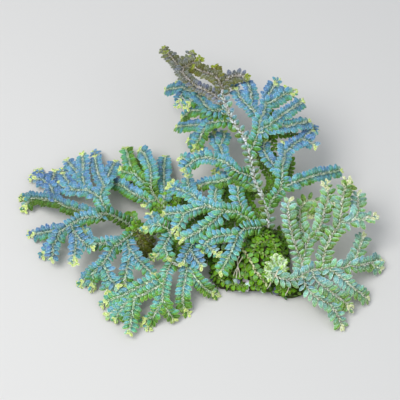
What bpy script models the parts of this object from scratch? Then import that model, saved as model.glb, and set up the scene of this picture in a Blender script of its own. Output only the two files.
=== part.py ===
"""Clump of peacock spikemoss, as picked: a small mossy soil clump with creeping stems and
flat, forked, leafy fronds that arch over it and droop to the surface it rests on.

Each stem and frond is a flattened ribbon that stands for one leafy shoot. A shoot's line is
drawn in the picture's pixels, with its heights in millimetres, and place() turns the two into
a point in the model. +Z is up, -Y is the front, and z = 0 is the surface."""

import math

import bmesh
import bpy
from mathutils import Vector

MM = 0.001  # metres in a millimetre

# The view that the lines are drawn in.
PIXEL_MM = 0.55  # real size of a pixel at the middle of the clump
VIEW_ELEVATION = math.radians(58)
VIEW_DISTANCE_MM = 700
VIEW_MIDDLE = (200, 200)  # pixel that looks at AIM_MM
AIM_MM = Vector((0, -10, 20))

# Leafy shoots, in millimetres. A share is of the full width.
SHOOT_WIDTH_MM = 4.8
SHOOT_THICKNESS_MM = 1.5
FOOT_SHARE = 0.45
FOOT_LENGTH_MM = 6
TIP_SHARE = 0.5
TIP_LENGTH_MM = 5
SIDE_DROP_MM = 1.5  # how far a side branch's tip hangs below the spray's own arch
CARRIER_CLEARANCE_MM = 3.3  # from a carrier's middle line to a shoot's foot
LEAST_HEIGHT_MM = 1.2
RING_SPACING = 8  # pixels between the rings of a shoot
FINE_SPACING = 1  # pixels between the points that measure it
CURVE_STEPS = 10  # points on the curve for each drawn one, before they are spaced evenly
WELD_M = 1e-6  # in metres: points nearer than this are one

# The soil clump and its moss, in millimetres. Outlines are in pixels at the height of the foot.
GAP_MM = 0.3
MOUND_SEGMENTS = 20
MOUND_RINGS = 12
MOUND_FULLNESS = 0.75  # 1 is a half ball, less is flatter on top
MOUND_LEAST = 1e-4  # share of its height within which a point counts as on its rim
SOIL = {
    "foot": 0, "height": 13.5,
    "outline": ((214, 284), (224, 289), (242, 290), (258, 290), (270, 292), (279, 292), (285, 284),
                (287, 268), (286, 250), (280, 238), (266, 232), (250, 230), (234, 234), (222, 244),
                (214, 258), (211, 272)),
}
MOSS_CUSHIONS = {
    "moss_cushion_top": {
        "foot": 8, "height": 8.5,
        "outline": ((249, 268), (262, 272), (275, 270), (281, 258), (279, 244), (270, 236),
                    (257, 236), (248, 246), (246, 258)),
    },
    "moss_cushion_toe": {
        "foot": 0, "height": 6,
        "outline": ((272, 292), (284, 297), (297, 297), (306, 291), (308, 283), (300, 277),
                    (289, 276), (277, 280)),
    },
}

# Thin roots and twigs: radius, and (u, v, height) points.
TUBE_TIP_SHARE = 0.6
TUBES = {
    "rhizophore_front": (0.45, ((239, 256, 16.5), (237, 262, 15.2), (236, 269, 13.5), (235, 277, 10.5))),
    "twig_left": (0.5, ((278, 270, 14.5), (273, 279, 10.5), (268, 287, 7))),
    "twig_right": (0.5, ((296, 272, 11), (291, 283, 9), (285, 296, 3.2))),
}

# Colour (linear) and roughness of each finish.
FINISHES = {
    "leaf_blue": ((0.10, 0.26, 0.55), 0.4),
    "leaf_teal": ((0.09, 0.35, 0.40), 0.4),
    "leaf_green": ((0.13, 0.40, 0.27), 0.45),
    "leaf_grey": ((0.22, 0.42, 0.35), 0.45),
    "leaf_old": ((0.12, 0.15, 0.10), 0.6),
    "stem": ((0.42, 0.48, 0.36), 0.6),
    "root": ((0.45, 0.40, 0.28), 0.7),
    "moss": ((0.16, 0.30, 0.02), 0.8),
    "soil": ((0.03, 0.03, 0.012), 0.9),
}

# Each shoot: the piece that carries it, its heights in millimetres where it starts (if it stands
# on the soil), halfway and at its tip, its leaves' colour, and its axes in pixels: the spine,
# then the side branches, each starting at the nearest point of an axis above it.
SHOOTS = {
    "stem_rear": {
        "on": "soil_clump", "base": 17, "crown": 38, "tip": 52, "leaf": "stem",
        "axes": (
            ((268, 228), (268, 215), (264, 199), (257, 186), (253, 172), (250, 157), (247, 144),
             (241, 132), (233, 122), (226, 107), (222, 94)),
        ),
    },
    "stem_left": {
        "on": "soil_clump", "base": 15, "crown": 15, "tip": 12, "leaf": "stem",
        "axes": (
            ((246, 240), (226, 243), (206, 241), (188, 237), (170, 233), (152, 230), (134, 228)),
        ),
    },
    "stem_upper_left": {
        "on": "stem_left", "crown": 15, "tip": 15, "leaf": "stem",
        "axes": (
            ((186, 236), (178, 224), (169, 212), (161, 203), (154, 196)),
        ),
    },
    "stem_front_left": {
        "on": "stem_left", "crown": 13, "tip": 12, "leaf": "stem",
        "axes": (
            ((206, 242), (198, 253), (190, 262), (181, 265), (172, 263)),
        ),
    },
    "stem_right": {
        "on": "soil_clump", "base": 15, "crown": 15, "tip": 12, "leaf": "stem",
        "axes": (
            ((268, 271), (280, 278), (292, 280), (303, 275), (312, 270), (322, 269), (332, 268),
             (342, 268), (350, 264), (355, 259), (358, 251), (361, 243), (363, 236)),
        ),
    },
    "frond_left_long": {
        "on": "stem_left", "crown": 21, "tip": 1.2, "leaf": "leaf_blue",
        "axes": (
            ((134, 228), (127, 223), (120, 219), (108, 214), (97, 214), (86, 212), (75, 209),
             (65, 206), (58, 202), (50, 200), (42, 199), (32, 198), (22, 197)),
            ((33, 198), (28, 203), (24, 209)),
        ),
    },
    "frond_left_far": {
        "on": "frond_left_long", "crown": 9, "tip": 3, "leaf": "leaf_blue",
        "axes": (
            ((57, 201), (54, 196), (52, 190), (52, 182), (54, 175), (55, 169)),
            ((52, 188), (47, 184), (42, 178), (39, 171)),
            ((43, 180), (37, 179), (32, 178)),
        ),
    },
    "frond_left_back_low": {
        "on": "frond_left_back", "crown": 15, "tip": 6, "leaf": "leaf_blue",
        "axes": (
            ((98, 197), (90, 192), (83, 190), (75, 190), (68, 189), (62, 186), (57, 180)),
            ((73, 190), (70, 185), (66, 179), (62, 170)),
            ((92, 192), (87, 188), (84, 183), (83, 174), (83, 163), (82, 152)),
            ((83, 178), (78, 173), (71, 165), (65, 158)),
        ),
    },
    "frond_left_back": {
        "on": "frond_left_long", "crown": 20, "tip": 8, "leaf": "leaf_blue",
        "axes": (
            ((106, 212), (103, 204), (100, 197), (102, 191), (105, 184), (108, 176), (112, 168),
             (117, 159)),
            ((104, 186), (101, 179), (98, 172), (96, 163), (95, 153)),
        ),
    },
    "frond_left_mid": {
        "on": "frond_left_long", "crown": 17, "tip": 1.2, "leaf": "leaf_blue",
        "axes": (
            ((102, 217), (91, 217), (80, 219), (70, 225), (62, 230), (52, 231), (41, 233),
             (30, 235)),
            ((61, 231), (57, 239), (52, 246), (47, 251), (42, 255)),
            ((54, 245), (53, 253), (51, 262)),
            ((72, 227), (75, 234), (76, 243), (75, 252), (74, 262)),
            ((75, 232), (79, 238), (84, 243), (89, 246), (95, 248)),
        ),
    },
    "frond_left_front": {
        "on": "stem_left", "crown": 16, "tip": 1.2, "leaf": "leaf_blue",
        "axes": (
            ((133, 232), (128, 237), (120, 243), (113, 248), (107, 258), (101, 266), (94, 272),
             (87, 278), (80, 284)),
            ((94, 273), (92, 280), (92, 288)),
            ((104, 265), (107, 271), (109, 277), (114, 283), (120, 288)),
            ((109, 278), (108, 285), (108, 294)),
            ((117, 244), (108, 243), (98, 244), (90, 241), (86, 235), (84, 228)),
        ),
    },
    "frond_left_steep": {
        "on": "frond_left_front", "crown": 16, "tip": 8, "leaf": "leaf_blue",
        "axes": (
            ((127, 239), (129, 248), (129, 258), (127, 268), (125, 278), (126, 290)),
            ((130, 249), (135, 256), (141, 263), (148, 270), (156, 277)),
        ),
    },
    "frond_upper_1": {
        "on": "stem_upper_left", "crown": 20, "tip": 10, "leaf": "leaf_teal",
        "axes": (
            ((154, 196), (151, 187), (151, 176), (149, 165), (145, 155), (138, 148)),
        ),
    },
    "frond_upper_2": {
        "on": "stem_upper_left", "crown": 16, "tip": 5, "leaf": "leaf_teal",
        "axes": (
            ((151, 193), (145, 184), (138, 177), (132, 169), (129, 160), (127, 152), (125, 146)),
            ((135, 174), (129, 173), (124, 172), (118, 169)),
        ),
    },
    "frond_upper_3": {
        "on": "stem_upper_left", "crown": 14.5, "tip": 6, "leaf": "leaf_teal",
        "axes": (
            ((163, 203), (165, 192), (164, 181), (164, 170), (165, 154)),
        ),
    },
    "frond_upper_4": {
        "on": "stem_upper_left", "crown": 15, "tip": 8, "leaf": "leaf_teal",
        "axes": (
            ((154, 201), (146, 199), (138, 196), (131, 192), (124, 187), (116, 184), (109, 182)),
            ((153, 201), (148, 203), (143, 207)),
        ),
    },
    "frond_centre_left": {
        "on": "stem_left", "crown": 19, "tip": 14, "leaf": "leaf_teal",
        "axes": (
            ((170, 232), (164, 227), (156, 225), (149, 227), (143, 230)),
            ((160, 226), (155, 220), (148, 212)),
        ),
    },
    "frond_centre_low": {
        "on": "stem_left", "crown": 15, "tip": 8, "leaf": "leaf_teal",
        "axes": (
            ((171, 235), (167, 241), (164, 247), (159, 253), (153, 257)),
            ((164, 247), (167, 254), (169, 262)),
        ),
    },
    "frond_centre_long": {
        "on": "soil_clump", "base": 17, "crown": 25, "tip": 18, "leaf": "leaf_teal",
        "axes": (
            ((256, 226), (250, 221), (240, 214), (230, 211), (218, 210), (208, 206), (199, 201),
             (193, 195), (189, 187), (187, 173)),
            ((193, 196), (185, 192), (177, 189), (167, 186)),
            ((179, 189), (174, 184), (171, 180)),
            ((219, 210), (216, 202), (215, 195), (217, 188), (222, 182)),
        ),
    },
    "frond_centre_side": {
        "on": "frond_centre_long", "crown": 22, "tip": 17, "leaf": "leaf_teal",
        "axes": (
            ((206, 206), (198, 208), (190, 211), (184, 214), (181, 221), (175, 231)),
            ((184, 213), (176, 213), (168, 214), (161, 214)),
        ),
    },
    "frond_centre_broad": {
        "on": "frond_centre_long", "crown": 22, "tip": 17, "leaf": "leaf_teal",
        "axes": (
            ((222, 213), (217, 218), (211, 223), (204, 228), (196, 233), (188, 237), (180, 239)),
        ),
    },
    "frond_centre_tall": {
        "on": "frond_centre_long", "crown": 24, "tip": 27, "leaf": "leaf_teal",
        "axes": (
            ((248, 219), (243, 211), (240, 204), (238, 196), (238, 189), (239, 182)),
        ),
    },
    "frond_front_long": {
        "on": "soil_clump", "base": 18, "crown": 25, "tip": 15, "leaf": "leaf_teal",
        "axes": (
            ((262, 228), (252, 228), (243, 230), (238, 236), (235, 243), (231, 253), (226, 262),
             (219, 275)),
        ),
    },
    "frond_front_side": {
        "on": "frond_front_long", "crown": 22, "tip": 16, "leaf": "leaf_teal",
        "axes": (
            ((238, 237), (230, 235), (221, 236), (213, 238), (207, 242), (203, 248), (202, 254)),
            ((207, 245), (212, 250), (218, 254)),
        ),
    },
    "frond_front_blue": {
        "on": "stem_left", "crown": 19, "tip": 15, "leaf": "leaf_blue",
        "axes": (
            ((193, 241), (191, 247), (187, 254), (184, 260), (182, 266)),
            ((190, 249), (194, 256), (199, 263), (203, 269)),
        ),
    },
    "frond_rear_inner": {
        "on": "stem_rear", "crown": 28, "tip": 18, "leaf": "leaf_teal",
        "axes": (
            ((257, 187), (250, 183), (242, 179), (233, 177), (225, 180), (216, 182), (208, 183),
             (202, 185), (195, 188)),
            ((224, 180), (220, 176), (216, 171)),
        ),
    },
    "frond_rear_fork": {
        "on": "stem_rear", "crown": 38, "tip": 34, "leaf": "leaf_teal",
        "axes": (
            ((252, 176), (243, 174), (236, 171), (230, 166), (225, 160), (222, 153), (220, 147),
             (216, 139), (213, 130)),
            ((220, 147), (223, 139), (225, 129)),
            ((228, 163), (219, 160), (210, 158), (201, 158), (193, 161), (187, 166), (182, 172)),
            ((208, 158), (204, 153), (199, 148)),
            ((192, 162), (185, 159), (178, 157)),
        ),
    },
    "frond_rear_left_6": {
        "on": "stem_rear", "crown": 42, "tip": 18, "leaf": "leaf_teal",
        "axes": (
            ((231, 121), (223, 121), (215, 122), (206, 124), (196, 125), (186, 126), (174, 127)),
            ((208, 125), (203, 132), (200, 138), (197, 143), (193, 148)),
            ((200, 137), (193, 139), (186, 141)),
        ),
    },
    "frond_rear_left_5": {
        "on": "stem_rear", "crown": 44, "tip": 24, "leaf": "leaf_teal",
        "axes": (
            ((226, 114), (218, 114), (209, 112), (200, 111), (192, 111), (186, 115), (180, 119)),
        ),
    },
    "frond_rear_left_4": {
        "on": "stem_rear", "crown": 44, "tip": 16, "leaf": "leaf_teal",
        "axes": (
            ((222, 110), (214, 111), (208, 108), (203, 102), (198, 96), (190, 91), (181, 88),
             (172, 89), (163, 91)),
            ((188, 90), (181, 86), (173, 82)),
            ((185, 89), (182, 96), (178, 104)),
            ((197, 96), (192, 100), (187, 106)),
        ),
    },
    "frond_rear_old": {
        "on": "stem_rear", "crown": 49, "tip": 34, "leaf": "leaf_old",
        "axes": (
            ((225, 105), (218, 98), (211, 93), (203, 89), (196, 86), (189, 80), (182, 73),
             (176, 63), (170, 56), (164, 50)),
            ((183, 73), (184, 66), (187, 60), (191, 54)),
            ((184, 68), (192, 63), (200, 59)),
        ),
    },
    "frond_rear_top": {
        "on": "stem_rear", "crown": 53, "tip": 44, "leaf": "leaf_old",
        "axes": (
            ((222, 92), (221, 86), (218, 80), (212, 75), (204, 72), (197, 69), (191, 67)),
            ((217, 79), (215, 72), (214, 64)),
            ((223, 91), (224, 83), (229, 78), (236, 76), (243, 76), (249, 78)),
        ),
    },
    "frond_back_left": {
        "on": "frond_back_top", "crown": 50, "tip": 46, "leaf": "leaf_blue",
        "axes": (
            ((258, 116), (252, 109), (246, 104), (241, 99), (238, 93), (234, 86)),
            ((253, 110), (252, 102), (251, 94), (249, 86), (246, 78)),
        ),
    },
    "frond_back_top": {
        "on": "stem_rear", "crown": 48, "tip": 44, "leaf": "leaf_blue",
        "axes": (
            ((250, 151), (254, 143), (257, 136), (259, 128), (260, 120), (264, 112), (266, 104),
             (268, 96), (272, 89), (277, 81)),
            ((267, 104), (273, 101), (279, 98), (284, 93), (288, 86)),
            ((283, 95), (289, 94), (294, 92)),
        ),
    },
    "frond_back_right": {
        "on": "frond_back_top", "crown": 48, "tip": 38, "leaf": "leaf_blue",
        "axes": (
            ((261, 129), (268, 126), (275, 121), (282, 115), (289, 110), (296, 106), (304, 100)),
        ),
    },
    "frond_back_right_low": {
        "on": "frond_back_top", "crown": 45, "tip": 33, "leaf": "leaf_blue",
        "axes": (
            ((260, 133), (270, 129), (279, 127), (288, 126), (297, 124), (304, 123), (312, 121)),
        ),
    },
    "frond_right_back": {
        "on": "stem_rear", "crown": 36, "tip": 38, "leaf": "leaf_blue",
        "axes": (
            ((268, 209), (272, 200), (277, 194), (281, 187), (282, 178), (282, 168), (284, 158),
             (285, 149), (284, 141)),
            ((281, 173), (275, 166), (269, 160), (265, 153), (264, 146), (265, 138)),
        ),
    },
    "frond_right_back_tip": {
        "on": "frond_right_back", "crown": 38, "tip": 30, "leaf": "leaf_blue",
        "axes": (
            ((286, 152), (291, 147), (297, 142), (303, 139), (308, 134), (315, 128)),
            ((303, 140), (310, 142), (317, 148)),
        ),
    },
    "frond_right_far": {
        "on": "frond_right_back", "crown": 30, "tip": 14, "leaf": "leaf_blue",
        "axes": (
            ((281, 189), (288, 185), (296, 182), (304, 179), (313, 176), (322, 174), (332, 172),
             (343, 170)),
        ),
    },
    "frond_right_head": {
        "on": "frond_right_inner", "crown": 26, "tip": 30, "leaf": "leaf_grey",
        "axes": (
            ((301, 259), (297, 250), (294, 241), (291, 231), (289, 220), (288, 209), (290, 198)),
        ),
    },
    "frond_right_inner": {
        "on": "stem_right", "crown": 20, "tip": 26, "leaf": "leaf_grey",
        "axes": (
            ((302, 275), (302, 263), (304, 254), (307, 244), (312, 236), (318, 229), (322, 221),
             (324, 212), (327, 202), (328, 194), (326, 185)),
            ((327, 201), (333, 203), (339, 206)),
            ((309, 240), (303, 231), (300, 221), (301, 209), (307, 201), (315, 201), (318, 208),
             (315, 216), (309, 214)),
        ),
    },
    "frond_right_tall": {
        "on": "stem_right", "crown": 24, "tip": 30, "leaf": "leaf_grey",
        "axes": (
            ((321, 268), (323, 260), (325, 252), (328, 243), (333, 234), (339, 225), (341, 215),
             (342, 205), (343, 195), (345, 187), (347, 180)),
            ((344, 191), (348, 187), (353, 183)),
        ),
    },
    "frond_right_edge": {
        "on": "frond_right_tall", "crown": 25, "tip": 24, "leaf": "leaf_grey",
        "axes": (
            ((341, 222), (348, 223), (354, 219), (358, 212), (358, 203), (358, 191)),
            ((354, 219), (361, 220), (367, 218), (374, 217)),
        ),
    },
    "frond_right_low": {
        "on": "stem_right", "crown": 10, "tip": 1.2, "leaf": "leaf_grey",
        "axes": (
            ((349, 266), (358, 265), (366, 264), (374, 262), (383, 259)),
            ((371, 264), (377, 267), (383, 270)),
        ),
    },
    "frond_right_front_far": {
        "on": "stem_right", "crown": 13, "tip": 1.2, "leaf": "leaf_grey",
        "axes": (
            ((329, 269), (337, 275), (345, 281), (352, 287), (360, 293), (369, 300)),
        ),
    },
    "frond_right_front": {
        "on": "stem_right", "crown": 12, "tip": 1.2, "leaf": "leaf_grey",
        "axes": (
            ((303, 277), (306, 286), (312, 294), (321, 300), (330, 305), (336, 313), (340, 321),
             (343, 328)),
        ),
    },
    "frond_right_front_mid": {
        "on": "stem_right", "crown": 15, "tip": 5, "leaf": "leaf_grey",
        "axes": (
            ((312, 271), (316, 280), (324, 287), (333, 293), (342, 300), (351, 308)),
        ),
    },
    "frond_front_drop": {
        "on": "stem_front_left", "crown": 13, "tip": 1.2, "leaf": "leaf_green",
        "axes": (
            ((172, 263), (168, 270), (165, 279), (163, 288), (163, 298), (166, 307), (170, 314),
             (176, 322)),
            ((163, 298), (159, 307), (155, 314), (150, 321), (148, 328)),
            ((153, 317), (148, 319), (142, 321)),
        ),
    },
    "frond_front_spread": {
        "on": "frond_front_drop", "crown": 10, "tip": 1.5, "leaf": "leaf_green",
        "axes": (
            ((163, 284), (154, 289), (144, 294), (134, 299), (124, 305), (115, 311), (105, 316)),
            ((134, 299), (133, 309), (131, 320), (129, 335)),
            ((125, 305), (119, 314), (113, 322)),
        ),
    },
    "frond_front_pale": {
        "on": "frond_front_drop", "crown": 12, "tip": 3, "leaf": "leaf_green",
        "axes": (
            ((164, 279), (153, 281), (142, 285), (131, 291), (121, 296), (111, 300), (103, 304)),
        ),
    },
    "frond_front_round": {
        "on": "stem_front_left", "crown": 11, "tip": 1.2, "leaf": "leaf_green",
        "axes": (
            ((187, 265), (186, 275), (184, 285), (183, 294), (183, 303), (186, 313)),
        ),
    },
    "frond_front_short": {
        "on": "stem_front_left", "crown": 11, "tip": 2.5, "leaf": "leaf_green",
        "axes": (
            ((188, 265), (193, 274), (199, 282), (206, 289), (216, 295)),
        ),
    },
    "frond_front_pad": {
        "on": "soil_clump", "base": 18, "crown": 16, "tip": 12, "leaf": "leaf_green",
        "axes": (
            ((238, 243), (245, 253), (250, 260), (254, 268), (259, 276), (268, 285)),
        ),
    },
}


def place(u, v, height):
    """Point of the model, in metres, seen at pixel (u, v) and this many millimetres up."""
    forward = Vector((0, math.cos(VIEW_ELEVATION), -math.sin(VIEW_ELEVATION)))
    upward = Vector((0, math.sin(VIEW_ELEVATION), math.cos(VIEW_ELEVATION)))
    eye = AIM_MM - VIEW_DISTANCE_MM * forward
    right_mm = (u - VIEW_MIDDLE[0]) * PIXEL_MM
    up_mm = (VIEW_MIDDLE[1] - v) * PIXEL_MM
    ray = VIEW_DISTANCE_MM * forward + Vector((right_mm, 0, 0)) + up_mm * upward
    point = eye + ray * ((height - eye.z) / ray.z)
    return point * MM


def smooth_line(points, spacing):
    """Points this many pixels apart on a Catmull-Rom curve through the given ones."""
    points = [Vector(p) for p in points]
    ends = [2 * points[0] - points[1]] + points + [2 * points[-1] - points[-2]]
    fine = []
    for a, b, c, d in zip(ends, ends[1:], ends[2:], ends[3:]):
        for i in range(CURVE_STEPS):
            t = i / CURVE_STEPS
            fine.append(
                0.5 * (2 * b + (c - a) * t + (2 * a - 5 * b + 4 * c - d) * t**2
                       + (3 * b - a - 3 * c + d) * t**3)
            )
    fine.append(points[-1])
    return even_line(fine, spacing)


def even_line(points, spacing):
    """The same line with its points evenly spaced."""
    lengths = [0.0]
    for a, b in zip(points, points[1:]):
        lengths.append(lengths[-1] + (b - a).length)
    count = max(2, round(lengths[-1] / spacing))
    line = []
    i = 0
    for k in range(count + 1):
        wanted = lengths[-1] * k / count
        while i < len(points) - 2 and lengths[i + 1] < wanted:
            i += 1
        step = lengths[i + 1] - lengths[i]
        t = (wanted - lengths[i]) / step if step else 0
        line.append(points[i].lerp(points[i + 1], min(t, 1)))
    return line


def nearest(line, pixel):
    """(pixel distance, u, v, height) of the point of a (u, v, height) line nearest to a pixel."""
    return min((math.dist(p[:2], pixel), *p) for p in line)


def arch(base, crown, tip, t):
    """Height at share t of a shoot that starts at base, passes crown halfway and ends at tip."""
    pull = 2 * crown - (base + tip) / 2
    return (1 - t) ** 2 * base + 2 * t * (1 - t) * pull + t**2 * tip


def share_along(spine, pixel):
    """How far along the straight line from a spine's start to its tip a pixel lies, 0 to 1."""
    run = spine[-1] - spine[0]
    return min(1, max(0, (pixel - spine[0]).dot(run) / run.length_squared))


def lines_of(name, known):
    """The shoot's axes as finely spaced (u, v, height) lines: its spine, then its side branches."""
    if name in known:
        return known[name]
    shoot = SHOOTS[name]
    spine = smooth_line(shoot["axes"][0], FINE_SPACING)
    base = shoot.get("base")
    if base is None:
        carrier = [p for line in lines_of(shoot["on"], known) for p in line]
        base = nearest(carrier, shoot["axes"][0][0])[3]
    last = len(spine) - 1
    heights = (base, shoot["crown"], shoot["tip"])
    lines = [[(*p, arch(*heights, i / last)) for i, p in enumerate(spine)]]
    for axis in shoot["axes"][1:]:
        _, u, v, start = nearest([p for line in lines for p in line], axis[0])
        side = smooth_line(((u, v), *axis[1:]), FINE_SPACING)
        level = arch(*heights, share_along(spine, side[0]))
        line = []
        for i, p in enumerate(side):
            fall = level - arch(*heights, share_along(spine, p))
            fall += SIDE_DROP_MM * (i / (len(side) - 1)) ** 2
            line.append((*p, max(LEAST_HEIGHT_MM, start - fall)))
        lines.append(line)
    known[name] = lines
    return lines


def clear_of(line, carrier):
    """The line without the stretch at its start that is too near its carrier's lines."""
    others = [place(*p) for other in carrier for p in other]
    for i, p in enumerate(line):
        here = place(*p)
        if min((here - other).length for other in others) > CARRIER_CLEARANCE_MM * MM:
            return line[i:]
    return line


def shoot_share(walked_mm, left_mm, has_foot):
    """Share of a shoot's full width, this far from its start and from its tip."""
    foot = min(1, FOOT_SHARE + (1 - FOOT_SHARE) * walked_mm / FOOT_LENGTH_MM) if has_foot else 1
    tip = min(1, TIP_SHARE + (1 - TIP_SHARE) * left_mm / TIP_LENGTH_MM)
    return min(foot, tip)


def collection(name, parent):
    made = bpy.data.collections.new(name)
    parent.children.link(made)
    return made


def material(name, colour, roughness):
    made = bpy.data.materials.new(name)
    made.use_nodes = True
    shader = made.node_tree.nodes["Principled BSDF"]
    shader.inputs["Base Color"].default_value = (*colour, 1)
    shader.inputs["Roughness"].default_value = roughness
    shader.inputs["Metallic"].default_value = 0
    return made


def add_object(name, mesh, home, finish=None):
    made = bpy.data.objects.new(name, mesh)
    home.objects.link(made)
    if finish:
        made.data.materials.clear()
        made.data.materials.append(finish)
    return made


def cross_section(name, home):
    """A closed diamond that a shoot's curve carries along, flat side level."""
    curve = bpy.data.curves.new(name, "CURVE")
    curve.dimensions = "2D"
    spline = curve.splines.new("POLY")
    side, top = SHOOT_WIDTH_MM / 2, SHOOT_THICKNESS_MM / 2
    corners = ((side, 0), (0, top), (-side, 0), (0, -top))
    spline.points.add(len(corners) - 1)
    for point, (x, y) in zip(spline.points, corners):
        point.co = (x * MM, y * MM, 0, 1)
    spline.use_cyclic_u = True
    made = bpy.data.objects.new(name, curve)
    made.hide_render = True
    home.objects.link(made)
    return made


def solid_from_curve(name, curve, home, finish=None):
    """The curve's closed mesh, as a new object, with its caps welded on."""
    holder = bpy.data.objects.new(name, curve)
    home.objects.link(holder)
    bpy.context.view_layer.update()
    graph = bpy.context.evaluated_depsgraph_get()
    mesh = bpy.data.meshes.new_from_object(holder.evaluated_get(graph))
    matrix = holder.matrix_world.copy()
    bpy.data.objects.remove(holder)
    tidy = bmesh.new()
    tidy.from_mesh(mesh)
    bmesh.ops.remove_doubles(tidy, verts=tidy.verts, dist=WELD_M)
    bmesh.ops.recalc_face_normals(tidy, faces=tidy.faces)
    tidy.to_mesh(mesh)
    tidy.free()
    made = add_object(name, mesh, home, finish)
    made.matrix_world = matrix
    return made


def ribbon(name, line, section, has_foot, home, finish=None):
    """One axis of a shoot: a flattened, level tube that narrows at its foot and tip."""
    rings = even_line([Vector(p) for p in line], RING_SPACING)
    points = [place(*p) for p in rings]
    walked = [0.0]
    for a, b in zip(points, points[1:]):
        walked.append(walked[-1] + (b - a).length / MM)
    curve = bpy.data.curves.new(name, "CURVE")
    curve.dimensions = "3D"
    curve.twist_mode = "Z_UP"
    curve.bevel_mode = "OBJECT"
    curve.bevel_object = section
    curve.use_fill_caps = True
    spline = curve.splines.new("POLY")
    spline.points.add(len(points) - 1)
    for point, place_m, distance in zip(spline.points, points, walked):
        point.co = (*place_m, 1)
        point.radius = shoot_share(distance, walked[-1] - distance, has_foot)
    return solid_from_curve(name, curve, home, finish)


def build_shoot(name, known, section, parts, guides, finish):
    """The spine's ribbon with its side branches' ribbons joined on by Boolean unions."""
    lines = lines_of(name, known)
    carrier = SHOOTS[name]["on"]
    spine = lines[0]
    if carrier in SHOOTS:
        spine = clear_of(spine, lines_of(carrier, known))
    shoot = ribbon(name, spine, section, carrier in SHOOTS, parts, finish)
    for number, line in enumerate(lines[1:], 1):
        side = ribbon(f"{name}_side_{number}", line, section, False, guides)
        side.hide_render = True
        side.display_type = "WIRE"
        union = shoot.modifiers.new(f"branch_{number}", "BOOLEAN")
        union.operation = "UNION"
        union.solver = "EXACT"
        union.object = side


def outline_radius(outline, middle, angle):
    """Distance from middle to the outline in this direction, in metres."""
    polar = sorted(
        (math.atan2(p.y - middle.y, p.x - middle.x), math.hypot(p.x - middle.x, p.y - middle.y))
        for p in outline
    )
    polar = [(polar[-1][0] - math.tau, polar[-1][1])] + polar + [(polar[0][0] + math.tau, polar[0][1])]
    for (a, near), (b, far) in zip(polar, polar[1:]):
        if a <= angle <= b:
            t = (angle - a) / (b - a)
            t = t * t * (3 - 2 * t)
            return near + (far - near) * t
    return polar[0][1]


def mound(name, shape, grow_mm, home, finish=None):
    """A flat-bottomed dome on the shape's outline, grown by grow_mm all round."""
    foot_mm = shape["foot"]
    outline = [place(u, v, foot_mm) for u, v in shape["outline"]]
    middle = sum(outline, Vector()) / len(outline)
    dome = bmesh.new()
    bmesh.ops.create_uvsphere(dome, u_segments=MOUND_SEGMENTS, v_segments=MOUND_RINGS, radius=1)
    for vertex in dome.verts:
        flat = math.hypot(vertex.co.x, vertex.co.y)
        angle = math.atan2(vertex.co.y, vertex.co.x)
        reach = flat * (outline_radius(outline, middle, angle) + grow_mm * MM)
        rise = max(0.0, vertex.co.z) ** MOUND_FULLNESS * (shape["height"] + grow_mm) * MM
        low = -grow_mm * MM if vertex.co.z < -MOUND_LEAST else 0.0
        vertex.co = (
            middle.x + reach * math.cos(angle),
            middle.y + reach * math.sin(angle),
            foot_mm * MM + (rise if vertex.co.z > MOUND_LEAST else low),
        )
    bmesh.ops.recalc_face_normals(dome, faces=dome.faces)
    mesh = bpy.data.meshes.new(name)
    dome.to_mesh(mesh)
    dome.free()
    return add_object(name, mesh, home, finish)


def tube(name, points, radius_mm, home, finish):
    """A thin round root or twig through (u, v, height) points, narrower at its end."""
    curve = bpy.data.curves.new(name, "CURVE")
    curve.dimensions = "3D"
    curve.bevel_depth = radius_mm * MM
    curve.bevel_resolution = 1
    curve.use_fill_caps = True
    spline = curve.splines.new("POLY")
    spline.points.add(len(points) - 1)
    for number, (point, pixel) in enumerate(zip(spline.points, points)):
        point.co = (*place(*pixel), 1)
        point.radius = 1 - (1 - TUBE_TIP_SHARE) * number / (len(points) - 1)
    solid_from_curve(name, curve, home, finish)


def cut(solid, cutter, name):
    cutter.hide_render = True
    cutter.display_type = "WIRE"
    difference = solid.modifiers.new(name, "BOOLEAN")
    difference.operation = "DIFFERENCE"
    difference.solver = "EXACT"
    difference.object = cutter


def build_soil(parts, guides, finishes):
    """The soil clump, flat below, with a moss cushion on its slope and one at its right toe."""
    mound("soil_clump", SOIL, 0, parts, finishes["soil"])
    clearance = mound("soil_clearance", SOIL, GAP_MM, guides)
    for name, shape in MOSS_CUSHIONS.items():
        cut(mound(name, shape, 0, parts, finishes["moss"]), clearance, "soil_below")


def main():
    for old in list(bpy.data.objects):
        bpy.data.objects.remove(old)
    parts = collection("spikemoss", bpy.context.scene.collection)
    guides = collection("spikemoss_guides", bpy.context.scene.collection)
    guides.hide_render = True
    finishes = {name: material(name, *look) for name, look in FINISHES.items()}
    build_soil(parts, guides, finishes)
    section = cross_section("shoot_section", guides)
    known = {}
    for name, shoot in SHOOTS.items():
        build_shoot(name, known, section, parts, guides, finishes[shoot["leaf"]])
    for name, (radius_mm, points) in TUBES.items():
        tube(name, points, radius_mm, parts, finishes["root"])


main()
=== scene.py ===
import math
import random

import bmesh
import bpy
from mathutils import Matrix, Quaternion, Vector, noise
from mathutils.bvhtree import BVHTree


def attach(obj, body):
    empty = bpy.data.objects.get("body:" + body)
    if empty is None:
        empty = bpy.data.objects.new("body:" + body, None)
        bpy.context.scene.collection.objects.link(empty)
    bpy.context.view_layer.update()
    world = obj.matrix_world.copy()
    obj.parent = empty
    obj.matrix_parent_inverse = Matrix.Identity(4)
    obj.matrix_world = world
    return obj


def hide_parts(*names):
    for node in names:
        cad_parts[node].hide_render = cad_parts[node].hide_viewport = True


# A clump of peacock spikemoss. Every leafy shoot follows a line that is drawn in the picture's
# pixels, with its height in millimetres, so each piece lies on the CAD node that it stands for.

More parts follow.
